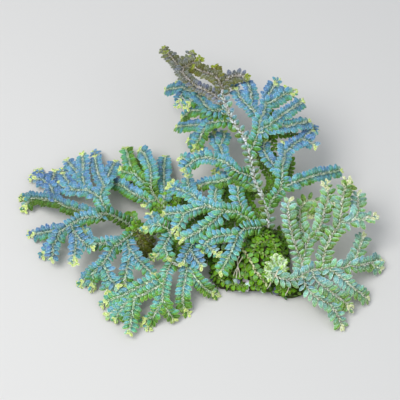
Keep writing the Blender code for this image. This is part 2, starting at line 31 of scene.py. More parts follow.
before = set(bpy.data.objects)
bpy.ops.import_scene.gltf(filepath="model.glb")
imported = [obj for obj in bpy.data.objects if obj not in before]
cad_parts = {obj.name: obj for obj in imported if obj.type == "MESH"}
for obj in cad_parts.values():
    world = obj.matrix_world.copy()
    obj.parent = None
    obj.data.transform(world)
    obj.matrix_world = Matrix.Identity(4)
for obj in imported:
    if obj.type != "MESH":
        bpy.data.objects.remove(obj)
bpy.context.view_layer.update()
mm = 0.001

view = {
    "pixelSize": 0.55,     # mm in a pixel at the middle of the clump
    "elevation": math.radians(58),
    "distance": 700,       # mm
    "middle": (200, 200),  # the pixel that looks at aim
    "aim": Vector((0, -10, 20)),
    "frameWidth": 400,     # pixels
    "sensor": 36,          # mm
}
forward = Vector((0, math.cos(view["elevation"]), -math.sin(view["elevation"])))
upward = Vector((0, math.sin(view["elevation"]), math.cos(view["elevation"])))
eye = view["aim"] - view["distance"] * forward    # mm


# Placing

def place(u, v, height):
    # the point, in metres, seen at pixel (u, v) and this many mm up
    right = (u - view["middle"][0]) * view["pixelSize"]
    up = (view["middle"][1] - v) * view["pixelSize"]
    ray = view["distance"] * forward + Vector((right, 0, 0)) + up * upward
    return (eye + ray * ((height - eye.z) / ray.z)) * mm


def smoothLine(points, spacing=1, steps=10):
    # Catmull-Rom through the points, then evenly spaced
    points = [Vector(p) for p in points]
    ends = [2 * points[0] - points[1]] + points + [2 * points[-1] - points[-2]]
    fine = []
    for a, b, c, d in zip(ends, ends[1:], ends[2:], ends[3:]):
        for i in range(steps):
            t = i / steps
            fine.append(
                0.5 * (2 * b + (c - a) * t + (2 * a - 5 * b + 4 * c - d) * t**2
                       + (3 * b - a - 3 * c + d) * t**3)
            )
    fine.append(points[-1])
    return evenLine(fine, spacing)


def evenLine(points, spacing):
    lengths = [0.0]
    for a, b in zip(points, points[1:]):
        lengths.append(lengths[-1] + (b - a).length)
    count = max(2, round(lengths[-1] / spacing))
    line = []
    i = 0
    for k in range(count + 1):
        wanted = lengths[-1] * k / count
        while i < len(points) - 2 and lengths[i + 1] < wanted:
            i += 1
        step = lengths[i + 1] - lengths[i]
        t = (wanted - lengths[i]) / step if step else 0
        line.append(points[i].lerp(points[i + 1], min(t, 1)))
    return line


def nearest(line, pixel):
    # the distance to the nearest (u, v, height) point of the line, and that point
    return min((math.dist(p[:2], pixel), *p) for p in line)


def arch(base, crown, tip, t):
    pull = 2 * crown - (base + tip) / 2
    return (1 - t) ** 2 * base + 2 * t * (1 - t) * pull + t**2 * tip


def shareAlong(spine, pixel):
    run = spine[-1] - spine[0]
    return min(1, max(0, (pixel - spine[0]).dot(run) / run.length_squared))


def newObject(name, data):
    made = bpy.data.objects.new(name, data)
    bpy.context.scene.collection.objects.link(made)
    return made


def srgb(*colour):
    # a colour from 0 to 255 as the linear colour that shaders take
    def linear(c):
        c /= 255
        return c / 12.92 if c <= 0.04045 else ((c + 0.055) / 1.055) ** 2.4
    return (*map(linear, colour), 1)


# Short names for the nodes of a material or of a Geometry Nodes tree. Each gives an output socket,
# and takes sockets or plain values.

class Nodes:
    def __init__(self, tree):
        self.tree = tree

    def give(self, socket, value):
        if isinstance(value, bpy.types.NodeSocket):
            self.tree.links.new(value, socket)
        else:
            socket.default_value = value

    def add(self, kind, wires=None, **settings):
        made = self.tree.nodes.new(kind)
        for key, value in settings.items():
            setattr(made, key, value)
        for socket, value in (wires or {}).items():
            self.give(made.inputs[socket], value)
        return made.outputs

    def calc(self, operation, a, b=0.0):
        return self.add("ShaderNodeMath", {0: a, 1: b}, operation=operation)[0]

    def plus(self, a, b):
        return self.calc("ADD", a, b)

    def minus(self, a, b):
        return self.calc("SUBTRACT", a, b)

    def times(self, a, b):
        return self.calc("MULTIPLY", a, b)

    def vector(self, operation, a, b=(0, 0, 0)):
        return self.add("ShaderNodeVectorMath", {0: a, 1: b}, operation=operation)

    def sum(self, a, b):
        return self.vector("ADD", a, b)[0]

    def scaled(self, a, scale):
        return self.add("ShaderNodeVectorMath", {0: a, 3: scale}, operation="SCALE")[0]

    def square(self, a, b):
        # of length 1, at right angles to both
        return self.vector("NORMALIZE", self.vector("CROSS_PRODUCT", a, b)[0])[0]

    def blend(self, factor, a, b):
        return self.add("ShaderNodeMix", {0: factor, 2: a, 3: b})[0]

    def tint(self, factor, a, b, how="MIX"):
        # a plain colour is three numbers from 0 to 255
        a, b = (srgb(*c) if isinstance(c, tuple) else c for c in (a, b))
        wires = {0: factor, 6: a, 7: b}
        return self.add("ShaderNodeMix", wires, data_type="RGBA", blend_type=how)[2]

    def span(self, value, low, high, toLow=0.0, toHigh=1.0, how="SMOOTHSTEP"):
        wires = {0: value, 1: low, 2: high, 3: toLow, 4: toHigh}
        return self.add("ShaderNodeMapRange", wires, interpolation_type=how)[0]

    def grain(self, scale, detail=3.0):
        spot = self.add("ShaderNodeTexCoord")["Object"]
        wires = {"Vector": spot, "Scale": scale, "Detail": detail, "Roughness": 0.6}
        return self.add("ShaderNodeTexNoise", wires)[0]

    def patches(self, scale, low, high, toLow=0.0, toHigh=1.0, how="SMOOTHSTEP", detail=3.0):
        return self.span(self.grain(scale, detail), low, high, toLow, toHigh, how)

    def mark(self, name):
        return self.add("ShaderNodeAttribute", attribute_name=name)["Fac"]

    def finish(self, colour, roughness, scale, detail, strength, depth):
        bump = self.add("ShaderNodeBump", {"Height": self.grain(scale, detail),
                                           "Strength": strength, "Distance": depth * mm})[0]
        shader = self.tree.nodes["Principled BSDF"].inputs
        self.give(shader["Base Color"], colour)
        self.give(shader["Roughness"], roughness)
        self.give(shader["Normal"], bump)
        return shader

    def named(self, name, kind="FLOAT"):
        return self.add("GeometryNodeInputNamedAttribute", {"Name": name}, data_type=kind)[0]

    def chance(self, seed, low, high, more):
        wires = {2: low, 3: high, 8: self.plus(seed, more)}
        return self.add("FunctionNodeRandomValue", wires)[1]

    def evenCurve(self, curve, step):
        wires = {"Curve": curve, "Length": step}
        return self.add("GeometryNodeResampleCurve", wires, mode="LENGTH")[0]

    def store(self, points, marks):
        for name, value in marks.items():
            points = self.add("GeometryNodeStoreNamedAttribute",
                              {0: points, "Name": name, "Value": value},
                              data_type="FLOAT", domain="POINT")[0]
        return points

    def leaves(self, points, leaf, normal, heading, length, width):
        turned = self.add("FunctionNodeAxesToRotation",
                          {"Primary Axis": normal, "Secondary Axis": heading},
                          primary_axis="Z", secondary_axis="X")[0]
        size = self.add("ShaderNodeCombineXYZ", {0: length, 1: width, 2: length})[0]
        shape = self.add("GeometryNodeObjectInfo", {"Object": leaf})["Geometry"]
        wires = {"Points": points, "Instance": shape, "Rotation": turned, "Scale": size}
        return self.add("GeometryNodeInstanceOnPoints", wires)[0]

    def tube(self, curve, radius, sides, scale):
        ring = self.add("GeometryNodeCurvePrimitiveCircle",
                        {"Resolution": sides, "Radius": radius})[0]
        wires = {"Curve": curve, "Profile Curve": ring, "Scale": scale, "Fill Caps": True}
        made = self.add("GeometryNodeCurveToMesh", wires)[0]
        return self.add("GeometryNodeSetShadeSmooth", {0: made})[0]

    def solid(self, geometry, material):
        made = self.add("GeometryNodeRealizeInstances", {0: geometry})[0]
        return self.add("GeometryNodeSetMaterial", {0: made, "Material": material})[0]

    def join(self, *parts):
        joined = self.add("GeometryNodeJoinGeometry")[0]
        for part in parts:
            self.tree.links.new(part, joined.node.inputs[0])
        return joined


def newMaterial(name):
    made = bpy.data.materials.new(name)
    made.use_nodes = True
    return made, Nodes(made.node_tree)


def newTree(name, inputs):
    # a Geometry Nodes tree that grows something from a source, and its inputs, given by kind
    tree = bpy.data.node_groups.new(name, "GeometryNodeTree")
    for kind, names in {"Geometry": ("source",), **inputs}.items():
        for socket in names:
            tree.interface.new_socket(socket, in_out="INPUT", socket_type="NodeSocket" + kind)
    tree.interface.new_socket("grown", in_out="OUTPUT", socket_type="NodeSocketGeometry")
    nodes = Nodes(tree)
    return nodes, nodes.add("NodeGroupInput")


# Leaf finishes. Colours are 0 to 255. A leaf's place on the ramp is its tone, 0 blue to 1 green.
# Edge is 0 at a leaf's rib and 1 at its rim, and along is 0 at its foot and 1 at its tip. Patches
# are a noise's scale, its values where they begin and end, and sometimes what it gives at each.
# A bump is a noise's scale and detail, the bump's strength and its depth in mm.

leafFinish = {
    "ramp": ((0.0, (92, 136, 210)), (0.2, (100, 160, 216)), (0.42, (96, 178, 200)),
             (0.62, (98, 186, 148)), (0.8, (92, 164, 48)), (1.0, (82, 128, 2))),
    "toneSpread": 0.28,    # from leaf to leaf
    "toneDrift": 0.2,      # over patches of the clump
    "driftScale": 110,
    # painted iridescent sheen: a leaf turns bluer as it faces blueFace and greener as it turns from
    # it
    "blueFace": (-0.15, 0.3, 0.94),    # a leaf that faces this way is bluest
    "turned": (1.0, 0.3),              # from facing that way to turned from it
    "turnGreen": (-0.08, 0.42),        # what that adds to the tone
    # rim: a leaf's pale margin, partly its own colour and partly a painted highlight along the edge
    "rim": (206, 238, 240), "rimGreen": (176, 214, 110), "rimShare": 0.6,
    "rimEdge": (0.6, 1.0), "rimAlong": (0.2, 0.6), "greenTone": (0.5, 0.85),
    # foot: a darker green towards a leaf's foot, partly its own colour and partly painted shade
    # where it tucks under the next leaf
    "foot": (50, 92, 4), "footShare": 0.8, "footAlong": (0.55, 0.1),
    "rib": (150, 208, 180), "ribShare": 0.2, "ribEdge": (0.22, 0.0),
    "under": (70, 112, 4), "underShare": 0.85,
    "fresh": (238, 244, 184), "freshCore": (184, 216, 84), "freshDepth": 1.04,
    "pale": (232, 242, 222), "paleTint": (176, 216, 172), "paleFleck": (120, 124, 60),
    "fleckPatches": (900, 0.56, 0.68, 0.0, 0.75),
    "mottlePatches": (1300, 0.3, 0.7), "mottle": 0.9,
    # shadeDepth: how dark a leaf in full painted shade is made
    "leafChance": 0.5, "otherLuck": 7.13, "depth": 0.95, "shadeDepth": 0.2,
    # painted glint: whitish specks of highlight over the leaves, greener on green leaves
    "paintedGlint": (216, 242, 244), "paintedGlintGreen": (186, 216, 120), "paintedGlintShare": 0.55,
    "paintedGlintPatches": (2100, 0.56, 0.66), "roughPatches": (700, 0.3, 0.7, 0.35, 0.6),
    "bump": (2600, 2.0, 0.35, 0.1), "gloss": 0.3,
}

greyChanges = {
    "ramp": ((0.0, (118, 166, 224)), (0.25, (130, 188, 208)), (0.45, (140, 204, 176)),
             (0.65, (136, 196, 126)), (0.85, (104, 164, 20)), (1.0, (92, 124, 4))),
    "rim": (226, 244, 232), "rimGreen": (204, 228, 150), "rimShare": 0.85,
    "pale": (240, 240, 228), "paleTint": (210, 226, 190), "paleFleck": (166, 120, 96),
    "under": (96, 116, 8), "foot": (76, 112, 24), "footShare": 0.65,
    "fresh": (240, 242, 212), "freshCore": (200, 214, 134), "paintedGlintGreen": (216, 232, 170),
    "paintedGlintShare": 0.8, "depth": 0.84, "leafChance": 0.7, "mottle": 1.0,
}

paleChanges = {
    "ramp": ((0.0, (196, 232, 226)), (0.3, (208, 240, 210)), (0.6, (206, 232, 160)),
             (0.8, (150, 196, 60)), (1.0, (116, 156, 10))),
    "rim": (244, 250, 240), "rimGreen": (236, 244, 200), "rimShare": 0.8, "foot": (104, 140, 20),
    "footShare": 0.55, "paintedGlint": (250, 252, 248), "paintedGlintGreen": (240, 248, 200),
    "paintedGlintShare": 0.9, "depth": 1.45, "mottle": 0.7,
}

groundChanges = {
    "ramp": ((0.0, (120, 186, 150)), (0.6, (122, 186, 80)), (0.8, (112, 178, 4)),
             (1.0, (100, 152, 0))),
    "rim": (190, 226, 170), "rimGreen": (144, 196, 20), "rimShare": 0.4, "foot": (44, 78, 0),
    "pale": (226, 222, 200), "paleTint": (190, 206, 130), "paleFleck": (130, 96, 40),
    "paintedGlintGreen": (170, 214, 70), "paintedGlintShare": 0.35, "toneSpread": 0.6,
}

# A darker, browner copy of the ground finish for low undergrowth: partly an olive colour of its own,
# partly painted shade
oliveAndShadeChanges = {
    "ramp": ((0.0, (100, 140, 60)), (0.5, (92, 128, 14)), (0.8, (86, 118, 0)),
             (1.0, (92, 98, 4))),
    "rim": (140, 160, 60), "rimGreen": (124, 140, 24), "foot": (50, 52, 6),
    "paleTint": (140, 132, 56), "under": (66, 70, 4), "paintedGlintGreen": (140, 128, 50),
}

lilacChanges = {
    "ramp": ((0.0, (222, 214, 226)), (1.0, (196, 178, 176))), "foot": (140, 116, 96),
    "rim": (244, 240, 244), "depth": 1.1, "mottle": 0.7,
}

stemChanges = {
    "ramp": ((0.0, (110, 160, 206)), (0.4, (116, 170, 176)), (0.62, (116, 162, 116)),
             (0.8, (104, 140, 50)), (1.0, (88, 112, 10))),
    "pale": (232, 236, 242), "paleTint": (196, 208, 200), "paleFleck": (130, 96, 76),
    "toneSpread": 0.4, "rimShare": 0.7,
}

oldChanges = {
    "ramp": ((0.0, (108, 120, 168)), (0.3, (112, 122, 132)), (0.55, (104, 110, 66)),
             (0.8, (98, 106, 18)), (1.0, (104, 84, 24))),
    "rim": (176, 184, 186), "rimGreen": (150, 152, 70), "pale": (206, 200, 200),
    "paleTint": (140, 136, 96), "paleFleck": (96, 64, 48), "foot": (60, 54, 10),
    "under": (66, 62, 14), "fresh": (186, 200, 60), "freshCore": (116, 140, 6),
    "rib": (124, 128, 110), "paintedGlint": (212, 214, 222), "paintedGlintGreen": (170, 166, 120),
    "paintedGlintShare": 0.7, "freshDepth": 0.9,
}


def leafMaterial(name, changes):
    look = {**leafFinish, **changes}
    made, nodes = newMaterial(name)
    luck, edge, along = nodes.mark("leafLuck"), nodes.mark("leafEdge"), nodes.mark("leafAlong")
    shade, young = nodes.mark("leafShade"), nodes.mark("leafFresh")

    drift = nodes.times(nodes.minus(nodes.grain(look["driftScale"]), 0.5), look["toneDrift"] * 2)
    chance = nodes.times(nodes.minus(luck, 0.5), look["toneSpread"])
    tone = nodes.plus(nodes.mark("leafTone"), nodes.plus(drift, chance))
    # painted iridescent sheen, fixed to one direction: leaves facing blueFace are bluest, turned
    # ones greener
    normal = nodes.add("ShaderNodeNewGeometry")["Normal"]
    facing = nodes.vector("DOT_PRODUCT", normal, look["blueFace"])["Value"]
    tone = nodes.plus(tone, nodes.span(facing, *look["turned"], *look["turnGreen"], "LINEAR"))
    colour = nodes.add("ShaderNodeValToRGB", {0: tone})[0]
    stops = colour.node.color_ramp.elements
    for _ in look["ramp"][2:]:
        stops.new(0.5)
    for stop, (position, stopColour) in zip(stops, look["ramp"]):
        stop.position = position
        stop.color = srgb(*stopColour)

    rib = nodes.times(nodes.span(edge, *look["ribEdge"]), look["ribShare"])
    colour = nodes.tint(rib, colour, look["rib"])
    # darker towards the foot: partly the leaf's own colour, partly painted shade under the leaf
    # before it
    foot = nodes.times(nodes.span(along, *look["footAlong"]), look["footShare"])
    colour = nodes.tint(foot, colour, look["foot"])
    # lit is where a leaf is not in painted shade
    lit = nodes.minus(1.0, shade)
    green = nodes.span(tone, *look["greenTone"])
    # pale margin, partly its own colour and partly a painted edge highlight, kept off leaves in
    # painted shade
    rim = nodes.times(nodes.span(edge, *look["rimEdge"]), look["rimShare"])
    rim = nodes.times(rim, nodes.times(lit, nodes.span(along, *look["rimAlong"])))
    colour = nodes.tint(rim, colour, nodes.tint(green, look["rim"], look["rimGreen"]))

    fleck = nodes.patches(*look["fleckPatches"], detail=1.0)
    pale = nodes.tint(fleck, nodes.tint(luck, look["pale"], look["paleTint"]), look["paleFleck"])
    colour = nodes.tint(nodes.mark("leafPale"), colour, pale)
    colour = nodes.tint(young, colour, nodes.tint(edge, look["freshCore"], look["fresh"]))
    under = nodes.times(nodes.mark("leafUnder"), look["underShare"])
    colour = nodes.tint(under, colour, look["under"])

    mottle = nodes.patches(*look["mottlePatches"], 1 - look["mottle"] / 2,
                           1 + look["mottle"] / 2, "LINEAR")
    otherLuck = nodes.calc("FRACT", nodes.times(luck, look["otherLuck"]))
    depth = nodes.span(otherLuck, 0.0, 1.0, look["depth"] * (1 - look["leafChance"] / 2),
                       look["depth"] * (1 + look["leafChance"] / 2), "LINEAR")
    # painted shade: leaves marked with shade are darkened, down to shadeDepth
    depth = nodes.times(depth, nodes.blend(shade, 1.0, look["shadeDepth"]))
    depth = nodes.blend(young, depth, look["freshDepth"])
    colour = nodes.tint(1.0, colour, nodes.times(mottle, depth), "MULTIPLY")
    # painted glint: whitish highlight specks, kept off leaves that are in painted shade
    paintedGlint = nodes.patches(*look["paintedGlintPatches"], 0.0, look["paintedGlintShare"], detail=2.0)
    colour = nodes.tint(nodes.times(paintedGlint, lit), colour,
                        nodes.tint(green, look["paintedGlint"], look["paintedGlintGreen"]))
    rough = nodes.patches(*look["roughPatches"], "LINEAR")
    shader = nodes.finish(colour, rough, *look["bump"])
    nodes.give(shader["Specular IOR Level"], look["gloss"])
    return made


barkFinish = {
    "colours": ((132, 128, 66), (74, 76, 26), (140, 92, 52)),
    "patches": ((500, 0.35, 0.65), (260, 0.55, 0.7, 0.0, 0.7)),
    "roughness": 0.55, "bump": (1800, 3.0, 0.4, 0.1),
}
dryFinish = {**barkFinish, "colours": ((246, 242, 222), (216, 208, 176), (224, 210, 182))}
soilFinish = {
    "colours": ((26, 28, 8), (60, 52, 22), (62, 88, 8)),
    "patches": ((260, 0.4, 0.62), (140, 0.42, 0.55, 0.0, 0.85)),
    "roughness": 0.9, "bump": (1300, 5.0, 0.8, 0.4),
}


def plainMaterial(name, look):
    # patches of a second colour on the first, and patches of a third on both
    made, nodes = newMaterial(name)
    first, second, third = look["colours"]
    lower, upper = look["patches"]
    colour = nodes.tint(nodes.patches(*lower), first, second)
    colour = nodes.tint(nodes.patches(*upper), colour, third)
    nodes.finish(colour, look["roughness"], *look["bump"])
    return made


print("materials")
materials = {
    "leaf_blue": leafMaterial("leafBlue", {"depth": 0.81, "paintedGlintShare": 0.66}),
    "leaf_teal": leafMaterial("leafTeal", {"rimShare": 0.68, "paintedGlintShare": 0.62}),
    "leaf_green": leafMaterial("leafGreen", {"rimShare": 0.8, "paintedGlintShare": 0.85, "mottle": 1.0}),
    "leaf_grey": leafMaterial("leafGrey", greyChanges),
    "leaf_old": leafMaterial("leafOld", oldChanges),
    "pale_tuft": leafMaterial("leafPale", paleChanges),
    "ground": leafMaterial("leafGround", groundChanges),
    # the ground finish made darker, as painted shade on the moss under the shoots
    "cover": leafMaterial("leafCoverShaded", {**groundChanges, "depth": 0.8}),
    "olive": leafMaterial("leafOliveAndShade", {**groundChanges, **oliveAndShadeChanges}),
    "lilac": leafMaterial("leafLilac", lilacChanges),
    "stem": leafMaterial("leafOnStem", stemChanges),
}
stemSkin = plainMaterial("stemSkin", barkFinish)
drySkin = plainMaterial("dryBark", dryFinish)
soilSkin = plainMaterial("dampSoil", soilFinish)


# The shoots: each one's leaf finish, its carrier, its heights in mm (where it starts, if it stands
# on the soil, then halfway and at its tip), its tone from start to tip, and its axes in pixels:
# the spine, then the side branches. The order sets each shoot's random draws.

shoots = {}


# A shoot's shade darkens its leaves as painted shade and takes their painted rim highlight and glint
# away.
def addShoot(name, leaf, carrier, heights, tone, axes, **changes):
    shoots[name] = {"leaf": leaf, "on": carrier, "heights": heights, "tone": tone, "axes": axes,
                    **changes}


addShoot("stem_rear", "stem", "soil_clump", (17, 38, 52), (0.44, 0.3), (
    ((268, 228), (268, 215), (264, 199), (257, 186), (253, 172), (250, 157), (247, 144),
     (241, 132), (233, 122), (226, 107), (222, 94)),
), leafing="rear")
addShoot("stem_left", "stem", "soil_clump", (15, 15, 12), (0.7, 0.6), (
    ((246, 240), (226, 243), (206, 241), (188, 237), (170, 233), (152, 230), (134, 228)),
))
addShoot("stem_upper_left", "stem", "stem_left", (15, 15), (0.8, 0.9), (
    ((186, 236), (178, 224), (169, 212), (161, 203), (154, 196)),
), braid=0.4)
addShoot("stem_front_left", "stem", "stem_left", (13, 12), (0.7, 0.65), (
    ((206, 242), (198, 253), (190, 262), (181, 265), (172, 263)),
))
addShoot("stem_right", "stem", "soil_clump", (15, 15, 12), (0.42, 0.5), (
    ((268, 271), (280, 278), (292, 280), (303, 275), (312, 270), (322, 269), (332, 268),
     (342, 268), (350, 264), (355, 259), (358, 251), (361, 243), (363, 236)),
), leafing="spaced", skin="leaf_grey", young=1.0)
addShoot("frond_left_long", "leaf_blue", "stem_left", (21, 1.2), (0.7, 0.5), (
    ((134, 228), (127, 223), (120, 219), (108, 214), (97, 214), (86, 212), (75, 209), (65, 206),
     (58, 202), (50, 200), (42, 199), (32, 198), (22, 197)),
    ((33, 198), (28, 203), (24, 209)),
), rowTone=-0.2, shade=0.38)
addShoot("frond_left_far", "leaf_blue", "frond_left_long", (9, 3), (0.2, 0.1), (
    ((57, 201), (54, 196), (52, 190), (52, 182), (54, 175), (55, 169)),
    ((52, 188), (47, 184), (42, 178), (39, 171)),
    ((43, 180), (37, 179), (32, 178)),
), shade=0.12)
addShoot("frond_left_back_low", "leaf_blue", "frond_left_back", (15, 6), (0.48, 0.16), (
    ((98, 197), (90, 192), (83, 190), (75, 190), (68, 189), (62, 186), (57, 180)),
    ((73, 190), (70, 185), (66, 179), (62, 170)),
    ((92, 192), (87, 188), (84, 183), (83, 174), (83, 163), (82, 152)),
    ((83, 178), (78, 173), (71, 165), (65, 158)),
))
addShoot("frond_left_back", "leaf_blue", "frond_left_long", (20, 8), (0.55, 0.22), (
    ((106, 212), (103, 204), (100, 197), (102, 191), (105, 184), (108, 176), (112, 168), (117, 159)),
    ((104, 186), (101, 179), (98, 172), (96, 163), (95, 153)),
))
addShoot("frond_left_mid", "leaf_blue", "frond_left_long", (17, 1.2), (0.45, 0.12), (
    ((102, 217), (91, 217), (80, 219), (70, 225), (62, 230), (52, 231), (41, 233), (30, 235)),
    ((61, 231), (57, 239), (52, 246), (47, 251), (42, 255)),
    ((54, 245), (53, 253), (51, 262)),
    ((72, 227), (75, 234), (76, 243), (75, 252), (74, 262)),
    ((75, 232), (79, 238), (84, 243), (89, 246), (95, 248)),
), rowTone=-0.06, shade=0.1)
addShoot("frond_left_front", "leaf_blue", "stem_left", (16, 1.2), (0.5, 0.3), (
    ((133, 232), (128, 237), (120, 243), (113, 248), (107, 258), (101, 266), (94, 272), (87, 278),
     (80, 284)),
    ((94, 273), (92, 280), (92, 288)),
    ((104, 265), (107, 271), (109, 277), (114, 283), (120, 288)),
    ((109, 278), (108, 285), (108, 294)),
    ((117, 244), (108, 243), (98, 244), (90, 241), (86, 235), (84, 228)),
))
addShoot("frond_left_steep", "leaf_blue", "frond_left_front", (16, 8), (0.42, 0.55), (
    ((127, 239), (129, 248), (129, 258), (127, 268), (125, 278), (126, 290)),
    ((130, 249), (135, 256), (141, 263), (148, 270), (156, 277)),
))
addShoot("frond_upper_1", "leaf_teal", "stem_upper_left", (20, 10), (0.55, 0.42), (
    ((154, 196), (151, 187), (151, 176), (149, 165), (145, 155), (138, 148)),
), shade=0.14)
addShoot("frond_upper_2", "leaf_teal", "stem_upper_left", (16, 5), (0.56, 0.86), (
    ((151, 193), (145, 184), (138, 177), (132, 169), (129, 160), (127, 152), (125, 146)),
    ((135, 174), (129, 173), (124, 172), (118, 169)),
), braid=0.7, rowTone=0.12)
addShoot("frond_upper_3", "leaf_teal", "stem_upper_left", (14.5, 6), (0.5, 0.36), (
    ((163, 203), (165, 192), (164, 181), (164, 170), (165, 154)),
), shade=0.14)
addShoot("frond_upper_4", "leaf_teal", "stem_upper_left", (15, 8), (0.55, 0.38), (
    ((154, 201), (146, 199), (138, 196), (131, 192), (124, 187), (116, 184), (109, 182)),
    ((153, 201), (148, 203), (143, 207)),
), rowTone=-0.1, shade=0.2)
addShoot("frond_centre_left", "leaf_teal", "stem_left", (19, 14), (0.5, 0.4), (
    ((170, 232), (164, 227), (156, 225), (149, 227), (143, 230)),
    ((160, 226), (155, 220), (148, 212)),
))
addShoot("frond_centre_low", "leaf_teal", "stem_left", (15, 8), (0.5, 0.45), (
    ((171, 235), (167, 241), (164, 247), (159, 253), (153, 257)),
    ((164, 247), (167, 254), (169, 262)),
))
addShoot("frond_centre_long", "leaf_teal", "soil_clump", (17, 25, 18), (0.54, 0.42), (
    ((256, 226), (250, 221), (240, 214), (230, 211), (218, 210), (208, 206), (199, 201),
     (193, 195), (189, 187), (187, 173)),
    ((193, 196), (185, 192), (177, 189), (167, 186)),
    ((179, 189), (174, 184), (171, 180)),
    ((219, 210), (216, 202), (215, 195), (217, 188), (222, 182)),
))
addShoot("frond_centre_side", "leaf_teal", "frond_centre_long", (22, 17), (0.5, 0.42), (
    ((206, 206), (198, 208), (190, 211), (184, 214), (181, 221), (175, 231)),
    ((184, 213), (176, 213), (168, 214), (161, 214)),
))
addShoot("frond_centre_broad", "leaf_teal", "frond_centre_long", (22, 17), (0.5, 0.44), (
    ((222, 213), (217, 218), (211, 223), (204, 228), (196, 233), (188, 237), (180, 239)),
), leafing="broad")
addShoot("frond_centre_tall", "leaf_teal", "frond_centre_long", (24, 27), (0.4, 0.36), (
    ((248, 219), (243, 211), (240, 204), (238, 196), (238, 189), (239, 182)),
), leafing="broad")
addShoot("frond_front_long", "leaf_teal", "soil_clump", (18, 25, 15), (0.44, 0.5), (
    ((262, 228), (252, 228), (243, 230), (238, 236), (235, 243), (231, 253), (226, 262), (219, 275)),
))
addShoot("frond_front_side", "leaf_teal", "frond_front_long", (22, 16), (0.52, 0.44), (
    ((238, 237), (230, 235), (221, 236), (213, 238), (207, 242), (203, 248), (202, 254)),
    ((207, 245), (212, 250), (218, 254)),
))
addShoot("frond_front_blue", "leaf_blue", "stem_left", (19, 15), (0.34, 0.28), (
    ((193, 241), (191, 247), (187, 254), (184, 260), (182, 266)),
    ((190, 249), (194, 256), (199, 263), (203, 269)),
))
addShoot("frond_rear_inner", "leaf_teal", "stem_rear", (28, 18), (0.55, 0.42), (
    ((257, 187), (250, 183), (242, 179), (233, 177), (225, 180), (216, 182), (208, 183),
     (202, 185), (195, 188)),
    ((224, 180), (220, 176), (216, 171)),
), rowTone=-0.12, shade=0.14)
addShoot("frond_rear_fork", "leaf_teal", "stem_rear", (38, 34), (0.5, 0.34), (
    ((252, 176), (243, 174), (236, 171), (230, 166), (225, 160), (222, 153), (220, 147),
     (216, 139), (213, 130)),
    ((220, 147), (223, 139), (225, 129)),
    ((228, 163), (219, 160), (210, 158), (201, 158), (193, 161), (187, 166), (182, 172)),
    ((208, 158), (204, 153), (199, 148)),
    ((192, 162), (185, 159), (178, 157)),
), shade=0.14)
addShoot("frond_rear_left_6", "leaf_teal", "stem_rear", (42, 18), (0.5, 0.36), (
    ((231, 121), (223, 121), (215, 122), (206, 124), (196, 125), (186, 126), (174, 127)),
    ((208, 125), (203, 132), (200, 138), (197, 143), (193, 148)),
    ((200, 137), (193, 139), (186, 141)),
), rowTone=-0.12, shade=0.28)
addShoot("frond_rear_left_5", "leaf_teal", "stem_rear", (44, 24), (0.58, 0.4), (
    ((226, 114), (218, 114), (209, 112), (200, 111), (192, 111), (186, 115), (180, 119)),
), rowTone=-0.2, shade=0.34)
addShoot("frond_rear_left_4", "leaf_teal", "stem_rear", (44, 16), (0.45, 0.3), (
    ((222, 110), (214, 111), (208, 108), (203, 102), (198, 96), (190, 91), (181, 88), (172, 89),
     (163, 91)),
    ((188, 90), (181, 86), (173, 82)),
    ((185, 89), (182, 96), (178, 104)),
    ((197, 96), (192, 100), (187, 106)),
), shade=0.36)
addShoot("frond_rear_old", "leaf_old", "stem_rear", (49, 34), (0.25, 0.6), (
    ((225, 105), (218, 98), (211, 93), (203, 89), (196, 86), (189, 80), (182, 73), (176, 63),
     (170, 56), (164, 50)),
    ((183, 73), (184, 66), (187, 60), (191, 54)),
    ((184, 68), (192, 63), (200, 59)),
))
addShoot("frond_rear_top", "leaf_old", "stem_rear", (53, 44), (0.35, 0.75), (
    ((222, 92), (221, 86), (218, 80), (212, 75), (204, 72), (197, 69), (191, 67)),
    ((217, 79), (215, 72), (214, 64)),
    ((223, 91), (224, 83), (229, 78), (236, 76), (243, 76), (249, 78)),
), sideTones={1: (0.7, 1.1)})
addShoot("frond_back_left", "leaf_blue", "frond_back_top", (50, 46), (0.26, 0.2), (
    ((258, 116), (252, 109), (246, 104), (241, 99), (238, 93), (234, 86)),
    ((253, 110), (252, 102), (251, 94), (249, 86), (246, 78)),
))
addShoot("frond_back_top", "leaf_blue", "stem_rear", (48, 44), (0.42, 0.24), (
    ((250, 151), (254, 143), (257, 136), (259, 128), (260, 120), (264, 112), (266, 104), (268, 96),
     (272, 89), (277, 81)),
    ((267, 104), (273, 101), (279, 98), (284, 93), (288, 86)),
    ((283, 95), (289, 94), (294, 92)),
))
addShoot("frond_back_right", "leaf_blue", "frond_back_top", (48, 38), (0.36, 0.22), (
    ((261, 129), (268, 126), (275, 121), (282, 115), (289, 110), (296, 106), (304, 100)),
))
addShoot("frond_back_right_low", "leaf_blue", "frond_back_top", (45, 33), (0.36, 0.24), (
    ((260, 133), (270, 129), (279, 127), (288, 126), (297, 124), (304, 123), (312, 121)),
), rowTone=-0.1)
addShoot("frond_right_back", "leaf_blue", "stem_rear", (36, 38), (0.42, 0.24), (
    ((268, 209), (272, 200), (277, 194), (281, 187), (282, 178), (282, 168), (284, 158),
     (285, 149), (284, 141)),
    ((281, 173), (275, 166), (269, 160), (265, 153), (264, 146), (265, 138)),
))
addShoot("frond_right_back_tip", "leaf_blue", "frond_right_back", (38, 30), (0.14, 0.1), (
    ((286, 152), (291, 147), (297, 142), (303, 139), (308, 134), (315, 128)),
    ((303, 140), (310, 142), (317, 148)),
))
addShoot("frond_right_far", "leaf_blue", "frond_right_back", (30, 14), (0.42, 0.26), (
    ((281, 189), (288, 185), (296, 182), (304, 179), (313, 176), (322, 174), (332, 172), (343, 170)),
))
